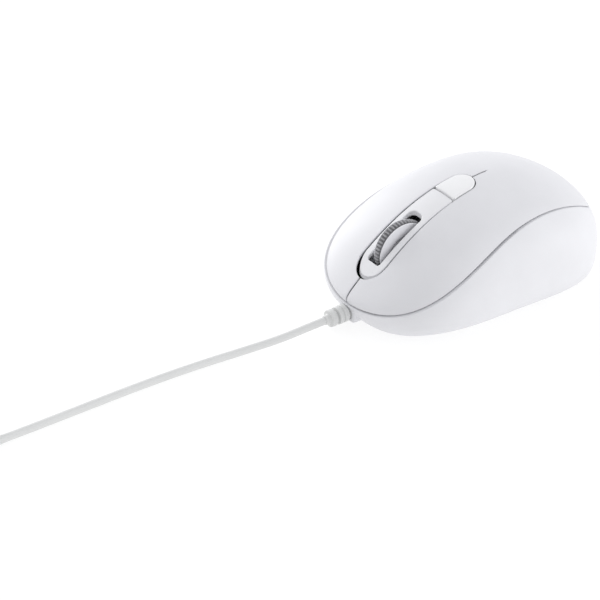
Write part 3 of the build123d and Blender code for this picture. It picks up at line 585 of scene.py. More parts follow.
def outline_at(turn, z, inset):
    """The body's outline at heights z, in the directions turn about its middle."""

    def point_at(reach):
        x = reach * np.cos(turn)
        y = OUTLINE_CENTRE_Y + reach * np.sin(turn)
        return np.stack([x, y, z + 0 * reach], axis=-1)

    return last_inside(point_at, z.shape, *OUTLINE_REACH, inset)


def wall_grid(inset, top_shift, bottom_z, rows, lip_drop=0.0):
    """The side wall's skin from under the seam down to a level, turn by turn. lip_drop lets its
    top down further, most at the nose."""
    turn = np.linspace(0, 2 * pi, BASE_TURNS, endpoint=False)
    top = seam_points(turn, top_shift, 0.0, inset)
    top_z = top[:, 2:] - lip_drop * seam_width(top[:, 1:2])
    z = mix(top_z, bottom_z, np.linspace(0, 1, rows)[None])
    points = outline_at(np.broadcast_to(turn[:, None], z.shape), z, inset)
    if lip_drop == 0.0:
        points[:, 0] = top
    return points


def ring_columns(ring, steps):
    """Level rings that shrink from an outline towards the middle of the floor."""
    middle = np.array([0, OUTLINE_CENTRE_Y, ring[0, 2]])
    return np.stack([mix(ring, middle, share) for share in steps], axis=1)


def tube(build, x, y, outer_r, inner_r, bottom_z, top_z, segments=40):
    """A standing round post with a hole down it, added as a closed ring."""
    profile = [(bottom_z, inner_r), (bottom_z, outer_r)]
    profile += [(top_z - 0.2, outer_r), (top_z, outer_r - 0.2), (top_z, inner_r)]
    build.grid(lathe(profile, (x, y, 0), (0, 0, 1), segments), True, True)


def cut(piece, cutter):
    """Takes the cutter's volume out of the piece, and removes the cutter."""
    modifier = piece.modifiers.new("cut", "BOOLEAN")
    modifier.object = cutter
    modifier.solver = "EXACT"
    bpy.context.view_layer.update()
    ready = piece.evaluated_get(bpy.context.evaluated_depsgraph_get())
    mesh = bpy.data.meshes.new_from_object(ready)
    piece.modifiers.clear()
    piece.data = mesh
    bpy.data.objects.remove(cutter)
    mesh.shade_smooth()
    mesh.set_sharp_from_angle(angle=radians(30))


def block(name, low, high, top_at=None):
    """A plain box. top_at gives the height of its top over each corner instead of high."""
    corners = []
    for x in (low[0], high[0]):
        for y in (low[1], high[1]):
            top_z = top_at(x, y) if top_at else high[2]
            corners += [(x, y, low[2]), (x, y, top_z)]
    faces = [(0, 1, 3, 2), (4, 6, 7, 5), (0, 4, 5, 1), (2, 3, 7, 6), (0, 2, 6, 4), (1, 5, 7, 3)]
    return new_mesh(name, corners, faces)


def bar(name, radius, start, end, axis, segments=48):
    """A plain round bar, used to cut with."""
    build = Build()
    build.grid(lathe([(0, 0), (0, radius), (end, radius), (end, 0)], start, axis, segments), True)
    return build.mesh(name)


def squared(turn, power):
    """How far a square with rounded corners and a half side of 1 reaches at each turn."""
    return (np.abs(np.cos(turn)) ** power + np.abs(np.sin(turn)) ** power) ** (-1 / power)


def collar_grid():
    """The square-sided collar round the cable's boot, with its hole, as a closed ring."""
    turn = np.linspace(0, 2 * pi, COLLAR_TURNS, endpoint=False)
    half_height = (COLLAR_TOP_Z - FOOT_Z) / 2
    middle_z = FOOT_Z + half_height
    scale = squared(turn, COLLAR_SQUARENESS)
    edge = COLLAR_EDGE
    outline = [
        (0.0, COLLAR_BACK_Y), (0.0, COLLAR_FRONT_Y + edge), (0.3 * edge, COLLAR_FRONT_Y + 0.3 * edge),
        (edge, COLLAR_FRONT_Y),
    ]
    hole_r = RELIEF_R + BOOT_PLAY
    hole = [
        (hole_r + HOLE_BEVEL, COLLAR_FRONT_Y), (hole_r, COLLAR_FRONT_Y + HOLE_BEVEL),
        (hole_r, COLLAR_BACK_Y),
    ]
    rings = [
        (COLLAR_HALF_WIDTH - inset, half_height - inset, middle_z, scale, y) for inset, y in outline
    ]
    rings += [(radius, radius, EXIT_Z, 1.0, y) for radius, y in hole]
    columns = [
        np.stack([
            half_x * reach * np.cos(turn), np.full(turn.shape, y), z + half_z * reach * np.sin(turn)
        ], -1)
        for half_x, half_z, z, reach, y in rings
    ]
    return np.stack(columns, axis=1)


def base_outside():
    """The lower shell's outer skin, from the seam over the rounded foot to the middle."""
    outer = wall_grid(0.0, -HALF_GAP - SEAM_ROLL, FOOT_Z + FOOT_ROUND, BASE_ROWS)
    sides = (False, False, True, False)
    roll = SEAM_ROLL * seam_width(outer[..., 1])
    outer, _ = with_rolled_edges(outer, skin_normals(outer), roll, sides, closed_rows=True)
    turn = np.linspace(0, 2 * pi, BASE_TURNS, endpoint=False)
    corner = outline_at(turn, np.full(turn.shape, FOOT_Z), 0.0)
    inward = np.stack([-np.cos(turn), -np.sin(turn), 0 * turn], -1)
    start, end = outer[:, -1], corner + inward * FOOT_ROUND
    foot = [curve(start, corner, end, share) for share in np.linspace(0, 1, FOOT_STEPS + 1)[1:]]
    return np.concatenate([outer, np.stack(foot, axis=1), ring_columns(end, FLOOR_RINGS)], axis=1)


def base_skin():
    """The lower shell's wall and floor, without bosses or openings."""
    inner = wall_grid(WALL, -HALF_GAP, FOOT_Z + FLOOR, BASE_ROWS, LIP_DROP)
    inner = np.concatenate([inner, ring_columns(inner[:, -1], FLOOR_RINGS)], axis=1)
    build = Build()
    edges = []
    for points, z in ((base_outside(), FOOT_Z), (inner, FOOT_Z + FLOOR)):
        start = build.grid(points, closed_rows=True)
        columns = points.shape[1]
        rings = [start + row * columns for row in range(BASE_TURNS)]
        build.fan([ring + columns - 1 for ring in rings], (0, OUTLINE_CENTRE_Y, z))
        edges.append(rings)
    for row in range(BASE_TURNS):
        after = (row + 1) % BASE_TURNS
        build.faces.append((edges[0][row], edges[0][after], edges[1][after], edges[1][row]))
    return build.mesh("base_shell_visual")


def base_bosses():
    """The screw boss, the cover's pegs, the board's posts and the collar."""
    build = Build()
    floor_top = FOOT_Z + FLOOR - 0.05  # sunk a little into the floor
    for x, y in [(0, SCREW_Y), *PEG_PLACES]:
        tube(build, x, y, BOSS_R, BOSS_HOLE_R, floor_top, BOSS_TOP_Z)
    for x, y in POST_PLACES:
        tube(build, x, y, POST_R, POST_HOLE_R, floor_top, POST_TOP_Z)
    build.grid(collar_grid(), True, True)
    return build.mesh("base_bosses")


def base_shell():
    shell = base_skin()
    window_x, window_y = (side / 2 for side in SENSOR_WINDOW)
    low = (-window_x, SENSOR_Y - window_y, -1)
    high = (window_x, SENSOR_Y + window_y, FOOT_Z + FLOOR + 1)
    cut(shell, block("window", low, high))
    cut(shell, bar("head_hole", SCREW_HEAD_R, (0, SCREW_Y, -1), SCREW_HEAD_Z + 1, (0, 0, 1)))
    cut(shell, bar("screw_hole", BOSS_HOLE_R, (0, SCREW_Y, 0), FOOT_Z + FLOOR + 1.4, (0, 0, 1)))
    return join(shell, base_bosses())


def join(piece, other):
    """One object with the meshes of both."""
    work = bmesh.new()
    work.from_mesh(piece.data)
    work.from_mesh(other.data)
    work.to_mesh(piece.data)
    work.free()
    bpy.data.objects.remove(other)
    return piece


# ---- console strip and resolution button -----------------------------------------------------
LOOP_TURNS = 320
PANEL_ROWS = 14
DIP = 0.55
DIP_START_Y = -36.5
DIP_LENGTH = 4.0
CONSOLE_CORNER_R = 0.4
CONSOLE_ROLL = 0.3
DPI_ROLL = 0.55
SLOT_ROLL = 0.3
SLOT_STRETCH = (3.3, 9.3)  # how the rays of each panel's grid spread, across and along
BUTTON_STRETCH = (4.9, 5.7)
BUTTON_CENTRE_Y = -3.2
LEG_X = 4.95
LEG_HALF_WIDTH = 0.45
LEG_HALF_LENGTH = 1.2
LEG_YS = (-33.5, -10.7)
BOARD_TOP_Z = 7.2
STEM_R = 1.4
STEM_Y = -2.6
STEM_BOTTOM_Z = 11.6


def offset_loop(loop, distance):
    """A closed plan outline moved outwards by a distance."""
    along = np.roll(loop, -1, 0) - np.roll(loop, 1, 0)
    out = unit(np.stack([along[:, 1], -along[:, 0]], -1))
    if np.sum(out * (loop - loop.mean(0))) < 0:
        out = -out
    return loop + out * distance


def round_corners(corners, radii, steps=24):
    """A closed plan outline of straight runs and true arcs at its corners."""
    points = []
    count = len(corners)
    for index in range(count):
        corner = np.array(corners[index], float)
        back = unit(np.array(corners[index - 1], float) - corner)
        ahead = unit(np.array(corners[(index + 1) % count], float) - corner)
        half = np.arccos(np.clip(np.dot(back, ahead), -1, 1)) / 2
        radius = radii[index]
        centre = corner + unit(back + ahead) * radius / np.sin(half)
        start = corner + back * radius / np.tan(half)
        end = corner + ahead * radius / np.tan(half)
        a = np.arctan2(*(start - centre)[::-1])
        b = np.arctan2(*(end - centre)[::-1])
        sweep = (b - a + pi) % (2 * pi) - pi
        for share in np.linspace(0, 1, steps):
            angle = a + sweep * share
            points.append(centre + radius * np.array([np.cos(angle), np.sin(angle)]))
    return np.array(points)


def densify(loop, step=0.05):
    """A closed plan outline with points close together."""
    closed = np.concatenate([loop, loop[:1]])
    length = np.linalg.norm(np.diff(closed, axis=0), axis=1).sum()
    return resample(closed, np.linspace(0, 1, int(length / step)))[:-1]


def console_loop(rear_y=None, front_y=None):
    """The console's outline in plan, whole or only its part ahead of or behind a line."""
    right = console_side(STRIP_FRONT_R, STRIP_FRONT_Y, STRIP_REAR_R, 0.0)
    loop = np.concatenate([right, (right * (-1, 1))[::-1][1:-1]])
    loop = densify(loop)
    if rear_y is None and front_y is None:
        return loop
    share = (rear_y or front_y) - STRIP_FRONT_Y
    half = mix(STRIP_FRONT_R, STRIP_REAR_R, share / (STRIP_REAR_Y - STRIP_FRONT_Y))
    if rear_y is not None:
        kept = loop[loop[:, 1] < rear_y - CONSOLE_CORNER_R]
        corners = [(half, rear_y), (-half, rear_y)]
    else:
        kept = loop[loop[:, 1] > front_y + CONSOLE_CORNER_R]
        corners = [(-half, front_y), (half, front_y)]
    for corner in corners:
        inward = np.array([-np.sign(corner[0]), -1.0 if rear_y is not None else 1.0])
        centre = np.array(corner) + inward * CONSOLE_CORNER_R
        for turn in np.linspace(0, pi / 2, 12):
            direction = np.array([-inward[0] * np.cos(turn), -inward[1] * np.sin(turn)])
            kept = np.concatenate([kept, [centre + direction * CONSOLE_CORNER_R]])
    middle = kept.mean(0)
    order = np.argsort(np.arctan2(kept[:, 1] - middle[1], kept[:, 0] - middle[0]))
    return densify(kept[order])


def star(loop, centre, turns):
    """Where rays from a centre, in the directions turns, meet a closed outline round it."""
    relative = loop - centre
    angle = np.arctan2(relative[:, 1], relative[:, 0])
    order = np.argsort(angle)
    reach = np.linalg.norm(relative, axis=1)[order]
    distance = np.interp(turns, angle[order], reach, period=2 * pi)
    return centre + distance[:, None] * np.stack([np.cos(turns), np.sin(turns)], -1)


def dipped(points):
    """The console's top, let down towards its front end."""
    share = smooth((DIP_START_Y - points[..., 1]) / DIP_LENGTH)
    return points - np.array([0, 0, DIP]) * share[..., None]


def panel(name, outer_loop, inner_loop, centre, stretch, inset, roll, inner_roll):
    """A console piece: its top follows the dome at an inset, its walls are upright. Without an
    inner outline it has no hole."""
    tau = np.linspace(-pi, pi, LOOP_TURNS, endpoint=False)
    turns = np.arctan2(stretch[1] * np.sin(tau), stretch[0] * np.cos(tau))

    def spread(outer, inner, count):
        outer = star(outer, centre, turns)
        inner = star(inner, centre, turns) if inner is not None else outer * 0 + centre
        share = np.linspace(0, 1, count)[None, :, None]
        plan = mix(inner[:, None], outer[:, None], share)
        return plan[..., 0], plan[..., 1]

    has_hole = inner_loop is not None
    inner = offset_loop(inner_loop, inner_roll) if has_hole else None
    top = skin_top(*spread(offset_loop(outer_loop, -roll), inner, PANEL_ROWS), inset)
    sides = (False, False, has_hole, True)
    radius = np.full(top.shape[:2], roll)
    if has_hole:
        radius[:, 0] = inner_roll
    top, _ = with_rolled_edges(top, skin_normals(top, inset), radius, sides, closed_rows=True)
    top = dipped(top)
    under = skin_top(*spread(outer_loop, inner_loop, top.shape[1]), STRIP_RECESS + STRIP_WALL)
    points, faces = close_shell(top, under, closed_rows=True)
    return new_mesh(name, points, faces)


def centre_strip():
    slot_half = (SLOT_REAR_Y - SLOT_FRONT_Y) / 2
    centre = np.array([0.0, SLOT_FRONT_Y + slot_half])
    corners = [
        (x * SLOT_HALF_WIDTH, centre[1] + y * slot_half) for x, y in ((1, 1), (-1, 1), (-1, -1), (1, -1))
    ]
    radii = [SLOT_REAR_CORNER_R] * 2 + [SLOT_FRONT_CORNER_R] * 2
    slot = densify(round_corners(corners, radii))
    strip = panel(
        "centre_strip_visual", console_loop(rear_y=STRIP_SPLIT_Y), slot, centre, SLOT_STRETCH,
        STRIP_RECESS, CONSOLE_ROLL, SLOT_ROLL,
    )
    for side in (-1, 1):
        for y in LEG_YS:
            low = (side * LEG_X - LEG_HALF_WIDTH, y - LEG_HALF_LENGTH, BOARD_TOP_Z)
            high = (side * LEG_X + LEG_HALF_WIDTH, y + LEG_HALF_LENGTH)
            join(strip, block("strip_leg", low, high, top_at=inside_strip))
    return strip


def inside_strip(x, y):
    """The height of the middle of the console's wall above a place."""
    return float(skin_top(np.array([x]), np.array([y]), STRIP_RECESS + STRIP_WALL / 2)[0, 2])


def dpi_button():
    front_y = STRIP_SPLIT_Y + STRIP_GAP
    centre = np.array([0.0, BUTTON_CENTRE_Y])
    button = panel(
        "dpi_button_visual", console_loop(front_y=front_y), None, centre, BUTTON_STRETCH,
        -DPI_RAISE, DPI_ROLL, None,
    )
    length = inside_strip(0.0, STEM_Y) - STEM_BOTTOM_Z
    return join(button, bar("stem", STEM_R, (0, STEM_Y, STEM_BOTTOM_Z), length, (0, 0, 1)))


# ---- scroll wheel -------------------------------------------------------------------------------
RIDGES = 50
RIDGE_STEPS = 12
RIDGE_HEIGHT = 0.75
RIDGE_SHARPNESS = 2.5
RIDGE_FADE = 0.15  # the share of the tread's half width in which the ridges fade at each side
TREAD_COLUMNS = 17
CROWN_POWER = 4
CROWN_ROUNDING = 1 / 2.5
TREAD_SHARE = 0.86  # the tread is this share of the tyre's width, which leaves a groove each side
TYRE_DEPTH = 1.6
HUB_HALF_WIDTH = 1.75
FLANGE_LEAN = 0.12  # the discs stand this much clear of the tyre at their rims
DISH_R = 5.5
DISH_X = 1.0
DISH_SLOPE = 0.2
HUB_EDGE = 0.15
HUB_BOSS_R = 2.4
HUB_BOSS_HALF_WIDTH = 2.6
HUB_WINDOWS = 5
HUB_WINDOW_R = 1.3
HUB_WINDOW_CIRCLE_R = 4.2
AXLE_R = 1.0
AXLE_BEVEL = 0.15
CUTTER_REACH = 5.0


def wheel_tyre():
    """A rubber ring with ridges across its tread."""
    low, high = (millimetres(corner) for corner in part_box("wheel_tyre"))
    centre = (low + high) / 2
    half_width = (high[0] - low[0]) / 2
    inner_r = (high[2] - low[2]) / 2 - TYRE_DEPTH
    turn = np.linspace(0, 2 * pi, RIDGES * RIDGE_STEPS, endpoint=False)[:, None]
    ridge = np.tanh(RIDGE_SHARPNESS * np.cos(RIDGES * turn)) / np.tanh(RIDGE_SHARPNESS) / 2 - 0.5
    across = np.sin(np.linspace(-pi / 2, pi / 2, TREAD_COLUMNS))[None]
    height = TYRE_DEPTH * (1 - np.abs(across) ** CROWN_POWER) ** CROWN_ROUNDING
    fade = np.clip((1 - np.abs(across)) / RIDGE_FADE, 0, 1)
    radius = inner_r + height + ridge * RIDGE_HEIGHT * fade
    x = centre[0] + half_width * TREAD_SHARE * across + 0 * radius
    tread = np.stack([x, centre[1] - radius * np.sin(turn), centre[2] + radius * np.cos(turn)], -1)
    build = Build()
    build.grid(tread, closed_rows=True, closed_columns=True)
    return build.mesh("wheel_tyre_visual", sharp_degrees=50)


def wheel_hub():
    """Dished discs each side of the tyre, with windows between the spokes, on a long axle."""
    low, high = (millimetres(corner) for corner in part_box("wheel_hub"))
    tyre_low, tyre_high = (millimetres(corner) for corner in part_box("wheel_tyre"))
    centre = (tyre_low + tyre_high) / 2
    tyre_half = (tyre_high[0] - tyre_low[0]) / 2
    flange_r = (high[2] - low[2]) / 2
    rim_r = (tyre_high[2] - tyre_low[2]) / 2 - TYRE_DEPTH
    half = [
        (tyre_half, rim_r), (tyre_half + FLANGE_LEAN, flange_r), (HUB_HALF_WIDTH, flange_r - HUB_EDGE),
        (HUB_HALF_WIDTH, DISH_R), (DISH_X, DISH_R - DISH_SLOPE), (DISH_X, HUB_BOSS_R),
        (HUB_BOSS_HALF_WIDTH, HUB_BOSS_R), (HUB_BOSS_HALF_WIDTH, AXLE_R / 2),
    ]
    mirrored = [(-x, radius) for x, radius in reversed(half)]
    build = Build()
    build.grid(lathe(rounded(mirrored + half, HUB_EDGE), centre, (1, 0, 0), 120), True, True)
    hub = build.mesh("wheel_hub_visual")
    for index in range(HUB_WINDOWS):
        turn = 2 * pi * index / HUB_WINDOWS
        y, z = HUB_WINDOW_CIRCLE_R * cos(turn), HUB_WINDOW_CIRCLE_R * sin(turn)
        start = centre + np.array([-CUTTER_REACH, y, z])
        cut(hub, bar("spoke_window", HUB_WINDOW_R, start, 2 * CUTTER_REACH, (1, 0, 0)))
    axle = Build()
    length = high[0] - low[0]
    near_end = [(0, 0), (0, AXLE_R - AXLE_BEVEL), (AXLE_BEVEL, AXLE_R)]
    far_end = [(length - along, radius) for along, radius in reversed(near_end)]
    axle.grid(lathe(near_end + far_end, (low[0], centre[1], centre[2]), (1, 0, 0), 40), True)
    return join(hub, axle.mesh("axle"))


# ---- cable, its boot, coil, tie and plug ------------------------------------------------------
CABLE_D = 2.6
RELIEF_END_Y = -57.4
# the boot's rings: where each starts and ends ahead of the collar's face, and its radius
RINGS = [(0.7, 2.5, 3.0), (2.9, 4.5, 3.0), (5.3, 7.4, 2.9)]
RING_ROUND = 0.25
CORE_R = 1.75
GROOVE_R = 2.55  # the narrow groove between the first two rings is shallow
TIP_R = 1.7
TIP_TAPER = 0.2
BORE_R = 1.2
ROOT_SHORT = 0.15  # the root ends this much behind the collar's face
RING_SLOPE = 0.1

# the route of the CAD model's tube, from the boot over the desk
CABLE_POINTS = [
    (0.0, -57.4, 3.6), (0.0, -64.5, 3.6), (-1.2, -74.0, 2.5), (-3.8, -86.0, 1.5), (-6.2, -103.0, 1.3),
    (-7.5, -122.0, 1.3), (-8.0, -142.0, 1.3), (-8.4, -161.0, 1.3), (-9.0, -178.0, 1.3),
]
COIL_TURN_D = 11 * CABLE_D
COIL_CENTRE = (-9.0 - COIL_TURN_D / 2, -190.0)
COIL_STEPS = 32
COIL_START = radians(20)
COIL_END = radians(-90)
COIL_COLUMNS = 4
COIL_LAYERS = 4
COIL_SHIFT = 1 / 8  # the part of a turn in which the cable moves over to its next place
PLUG_X = -38.0  # the back of the plug's grip


def coil_places():
    """Each turn's radius and height: layer by layer, inwards on one and outwards on the next."""
    places = []
    for layer in range(COIL_LAYERS):
        columns = range(COIL_COLUMNS)
        for column in columns if layer % 2 else reversed(columns):
            radius = COIL_TURN_D / 2 + (column - (COIL_COLUMNS - 1) / 2) * CABLE_D
            places.append((radius, CABLE_D * (layer + 0.5)))
    return places


def coil_moves(places):
    """The turn at which each move to the next place starts. At each corner of the winding the
    next move comes a little sooner, so that it leaves room for the one before."""
    moves = []
    start = 1 - COIL_SHIFT
    for number in range(len(places) - 1):
        if number and (places[number][1] == places[number - 1][1]) != (
            places[number + 1][1] == places[number][1]
        ):
            start -= COIL_SHIFT
        moves.append(number + start)
    return moves


def coil_points():
    """Clockwise turns seen from above, from the desk up."""
    places = coil_places()
    moves = coil_moves(places)
    turns = len(places) - 1 + (COIL_START - COIL_END) / (2 * pi)
    spline_pull = 0.75 + 0.25 * cos(2 * pi / COIL_STEPS)
    points = []
    for step in range(round(turns * COIL_STEPS)):
        turn = step / COIL_STEPS
        done = sum(smooth((turn - move) / COIL_SHIFT) for move in moves)
        number = min(int(done), len(places) - 2)
        share = done - number
        radius = mix(places[number][0], places[number + 1][0], share) / spline_pull
        z = mix(places[number][1], places[number + 1][1], share)
        angle = COIL_START - 2 * pi * turn
        points.append((COIL_CENTRE[0] + radius * cos(angle), COIL_CENTRE[1] + radius * sin(angle), z))
    return points


def make_cable():
    points = CABLE_POINTS + coil_points()
    end_y = COIL_CENTRE[1] - coil_places()[-1][0]
    end_z = middle_of("usb_grip")[2]
    top_z = coil_places()[-1][1]
    # off the top of the coil, down to the plug's height, and straight into its grip
    points += [(COIL_CENTRE[0] - 3.5, end_y, top_z - 0.4), (PLUG_X + 6.5, end_y, end_z + 0.8)]
    points += [(PLUG_X + 3.5, end_y, end_z), (PLUG_X - 0.5, end_y, end_z)]
    data = bpy.data.curves.new("cable_visual", "CURVE")
    data.dimensions = "3D"
    spline = data.splines.new("NURBS")
    spline.points.add(len(points) - 1)
    for control, (x, y, height) in zip(spline.points, points):
        control.co = (x * MM, y * MM, height * MM, 1.0)
    spline.order_u = 3
    spline.use_endpoint_u = True
    data.resolution_u = 5
    data.bevel_depth = CABLE_D / 2 * MM
    data.bevel_resolution = 5
    data.use_fill_caps = True
    return add_object("cable_visual", data)


def strain_relief():
    """A ribbed boot: three thick rings on a core, round a bore for the cable."""
    root_y = -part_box("strain_relief")[1][1] / MM
    face = -COLLAR_FRONT_Y
    tip = -RELIEF_END_Y
    root_end = face - ROOT_SHORT
    corners = [(root_y, BORE_R), (root_y, RELIEF_R), (root_end, RELIEF_R), (root_end, CORE_R)]
    cores = [CORE_R, GROOVE_R, CORE_R]
    ends = [GROOVE_R, CORE_R, TIP_R]
    for (start, end, radius), core, last in zip(RINGS, cores, ends):
        corners += [(face + start, core), (face + start + RING_SLOPE, radius)]
        corners += [(face + end - RING_SLOPE, radius), (face + end, last)]
    corners += [(tip, TIP_R - TIP_TAPER), (tip, BORE_R)]
    build = Build()
    build.grid(lathe(rounded(corners, RING_ROUND), (0, 0, EXIT_Z), (0, -1, 0), 72), True, True)
    return build.mesh("strain_relief_visual", sharp_degrees=60)


TIE_ANGLE = radians(200)
TIE_WIDTH = 5.0
TIE_THICK = 0.5
TIE_EDGE = 0.92  # from here to the side edges the strap gets thinner
TIE_EDGE_THICK = 0.3
TIE_SINK = 0.25  # the strap presses this far into the outer turns
TIE_SQUARENESS = 6.0
TIE_TURNS = 72


def coil_tie():
    """A flat strap wrapped once round the coil's turns."""
    half_width = COIL_COLUMNS * CABLE_D / 2
    half_height = COIL_LAYERS * CABLE_D / 2
    turn = np.linspace(0, 2 * pi, TIE_TURNS, endpoint=False)
    scale = squared(turn, TIE_SQUARENESS)
    across = [(TIE_EDGE, TIE_THICK), (1.0, TIE_EDGE_THICK)]
    across = [(-share, thick) for share, thick in reversed(across)] + across
    loops = []
    for share, thick in across + [(share, 0.0) for share, _ in reversed(across)]:
        grow = thick - TIE_SINK
        reach = COIL_TURN_D / 2 + (half_width + grow) * scale * np.cos(turn)
        z = half_height + (half_height + grow) * scale * np.sin(turn)
        side = share * TIE_WIDTH / 2
        x = COIL_CENTRE[0] + reach * cos(TIE_ANGLE) - side * sin(TIE_ANGLE)
        y = COIL_CENTRE[1] + reach * sin(TIE_ANGLE) + side * cos(TIE_ANGLE)
        loops.append(np.stack([x, y, np.maximum(z, 0.0)], -1))
    build = Build()
    build.grid(np.stack(loops, axis=1), True, True)
    return build.mesh("coil_tie")


# ---- materials -----------------------------------------------------------------------------------
def add_node(tree, kind, values=None, **options):
    """A new shader node. values gives its inputs by name or number, each a plain value or
    another node's output."""
    node = tree.nodes.new("ShaderNode" + kind)
    for name, value in options.items():
        setattr(node, name, value)
    for name, value in (values or {}).items():
        if isinstance(value, bpy.types.NodeSocket):
            tree.links.new(value, node.inputs[name])
        else:
            node.inputs[name].default_value = value
    return node


class Nodes:
    """A material's node tree around its own Principled shader."""

    def __init__(self, name, colour, roughness):
        self.material = bpy.data.materials.new(name)
        self.material.use_nodes = True
        self.tree = self.material.node_tree
        self.shader = self.tree.nodes["Principled BSDF"]
        self.set(base_color=(*colour, 1.0), roughness=roughness)
        self.place = self.add("TexCoord").outputs["Object"]
        self.material.diffuse_color = (*colour, 1.0)

    def add(self, kind, values=None, **options):
        return add_node(self.tree, kind, values, **options)

    def set(self, **values):
        """Numbers for the shader's own inputs."""
        for name, value in values.items():
            socket = name.replace("_", " ").title().replace("Ior", "IOR")
            self.shader.inputs[socket].default_value = value

    def drive(self, name, source):
        """Lets an output drive one of the shader's own inputs."""
        self.tree.links.new(source, self.shader.inputs[name])

    def stretched(self, scale):
        """The object's coordinates, stretched along its axes."""
        return self.add("Mapping", {"Vector": self.place, "Scale": scale}).outputs["Vector"]

    def noise(self, size_mm, detail=3.0, roughness=0.55, place=None):
        """Cloudy noise whose blobs are about size_mm across."""
        values = {"Scale": 1 / (size_mm * MM), "Detail": detail, "Roughness": roughness}
        return self.add("TexNoise", {"Vector": place or self.place, **values}).outputs["Fac"]

    def cells(self, size_mm):
        """The distance to the nearest of scattered points about size_mm apart."""
        values = {"Vector": self.place, "Scale": 1 / (size_mm * MM)}
        return self.add("TexVoronoi", values).outputs["Distance"]

    def waves(self, size_mm, axis, distortion):
        """Bands across an axis, about size_mm apart."""
        values = {"Vector": self.place, "Scale": 0.314 / (size_mm * MM), "Distortion": distortion}
        return self.add("TexWave", values, bands_direction=axis).outputs["Fac"]

    def between(self, source, low, high, from_low=0.0, from_high=1.0):
        """The source's range turned into another range of numbers."""
        values = {"From Min": from_low, "From Max": from_high, "To Min": low, "To Max": high}
        return self.add("MapRange", {"Value": source, **values}).outputs["Result"]

    def from_axle(self, centre):
        """The distance from a crosswise axle that passes through a point."""
        offset = self.add("VectorMath", {0: self.place, 1: centre}, operation="SUBTRACT")
        values = {0: offset.outputs["Vector"], 1: (0.0, 1.0, 1.0)}
        level = self.add("VectorMath", values, operation="MULTIPLY")
        length = self.add("VectorMath", {0: level.outputs["Vector"]}, operation="LENGTH")
        return length.outputs["Value"]

    def colours(self, source, first, last, low=0.3, high=0.7):
        """One colour below a part of the source's range and another above it."""
        node = self.add("ValToRGB", {"Fac": source})
        for element, place, colour in zip(node.color_ramp.elements, (low, high), (first, last)):
            element.position = place
            element.color = (*colour, 1.0)
        return node.outputs["Color"]

    def shades(self, source, colour, first, last, low=0.3, high=0.7):
        """The same with two shades of one colour, given as factors."""
        return self.colours(source, tinted(colour, first), tinted(colour, last), low, high)

    def blended(self, share, first, second):
        """Two colour outputs mixed by a share output."""
        node = self.add("Mix", {"Factor": share}, data_type="RGBA")
        sockets = [socket for socket in node.inputs if socket.type == "RGBA"]
        for source, socket in zip((first, second), sockets):
            self.tree.links.new(source, socket)
        return [socket for socket in node.outputs if socket.type == "RGBA"][0]

    def bump(self, source, height_mm, strength, below=None):
        """Relief from the source. below is another bump's output that it lies on."""
        values = {"Height": source, "Strength": strength, "Distance": height_mm * MM}
        if below is not None:
            values["Normal"] = below
        relief = self.add("Bump", values).outputs["Normal"]
        self.drive("Normal", relief)
        return relief


def tinted(colour, factor):
    return tuple(min(1.0, channel * factor) for channel in colour)


def moulded(
    name, colour, roughness, spread=0.03, grain_mm=0.35, depth_mm=0.006, drift_mm=14.0, **values
):
    """Moulded plastic: a fine spark-eroded grain, and gloss that drifts a little across it."""
    nodes = Nodes(name, colour, roughness)
    drift = nodes.noise(drift_mm, detail=2.0)
    grain = nodes.noise(grain_mm, detail=4.0, roughness=0.6)
    broad = nodes.shades(drift, colour, 1 - spread, 1 + spread)
    speck = nodes.shades(grain, colour, 0.97, 1.02, 0.35, 0.65)
    nodes.drive("Base Color", nodes.blended(nodes.between(grain, 0.2, 0.5), broad, speck))
    nodes.drive("Roughness", nodes.between(drift, roughness - 0.05, roughness + 0.07, 0.3, 0.7))
    pits = nodes.bump(nodes.cells(grain_mm * 1.3), depth_mm * 0.7, 0.35)
    nodes.bump(grain, depth_mm, 0.5, below=pits)
    nodes.set(**values)
    return nodes.material


def glossy(name, colour, roughness, coat=0.5):
    """Polished plastic."""
    finish = {"spread": 0.02, "grain_mm": 1.2, "depth_mm": 0.002}
    return moulded(name, colour, roughness, **finish, coat_weight=coat, coat_roughness=0.08)


# painted shade in the tyre's grooves: how dark the rubber's colour gets down there
GROOVE_SHADE = 0.5
GROOVE_DEPTHS = (0.55, 0.2)  # under the ridges' tops: where the painted groove shade is full, and where it ends


def rubber(name, colour, roughness, wear):
    """The tyre's soft rubber: paler and smoother where it is rubbed, with painted shade down in its
    grooves.
    """
    nodes = Nodes(name, colour, roughness)
    patches = nodes.noise(2.6, detail=5.0, roughness=0.65)
    dust = nodes.noise(0.18, detail=2.0)
    body = nodes.shades(patches, colour, 0.85, wear, high=0.75)
    fine = nodes.shades(dust, colour, 0.9, 1.25, high=0.75)
    rubbed = nodes.blended(nodes.between(dust, 0.15, 0.45), body, fine)
    # painted shade: the rubber's colour darkened where shade falls in the grooves
    painted_groove_shade = nodes.shades(patches, colour, GROOVE_SHADE, 1.3 * GROOVE_SHADE, high=0.75)
    low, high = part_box("wheel_tyre")
    centre = [(a + b) / 2 for a, b in zip(low, high)]
    tread_r = (high[2] - low[2]) / 2
    dark_r, pale_r = (tread_r - depth * MM for depth in GROOVE_DEPTHS)
    # the painted groove shade fades out between these radii, and the rubbed rubber shows on the ridges
    top = nodes.between(nodes.from_axle(centre), 0.0, 1.0, dark_r, pale_r)
    nodes.drive("Base Color", nodes.blended(top, painted_groove_shade, rubbed))
    nodes.drive("Roughness", nodes.between(patches, roughness + 0.08, roughness - 0.1))
    nodes.bump(dust, 0.012, 0.5)
    return nodes.material


def jacket(name, colour, roughness):
    """Extruded soft plastic with a slightly mottled satin skin."""
    finish = {"spread": 0.025, "grain_mm": 0.25, "depth_mm": 0.008, "drift_mm": 9.0}
    return moulded(name, colour, roughness, **finish, sheen_weight=0.12, sheen_roughness=0.5)


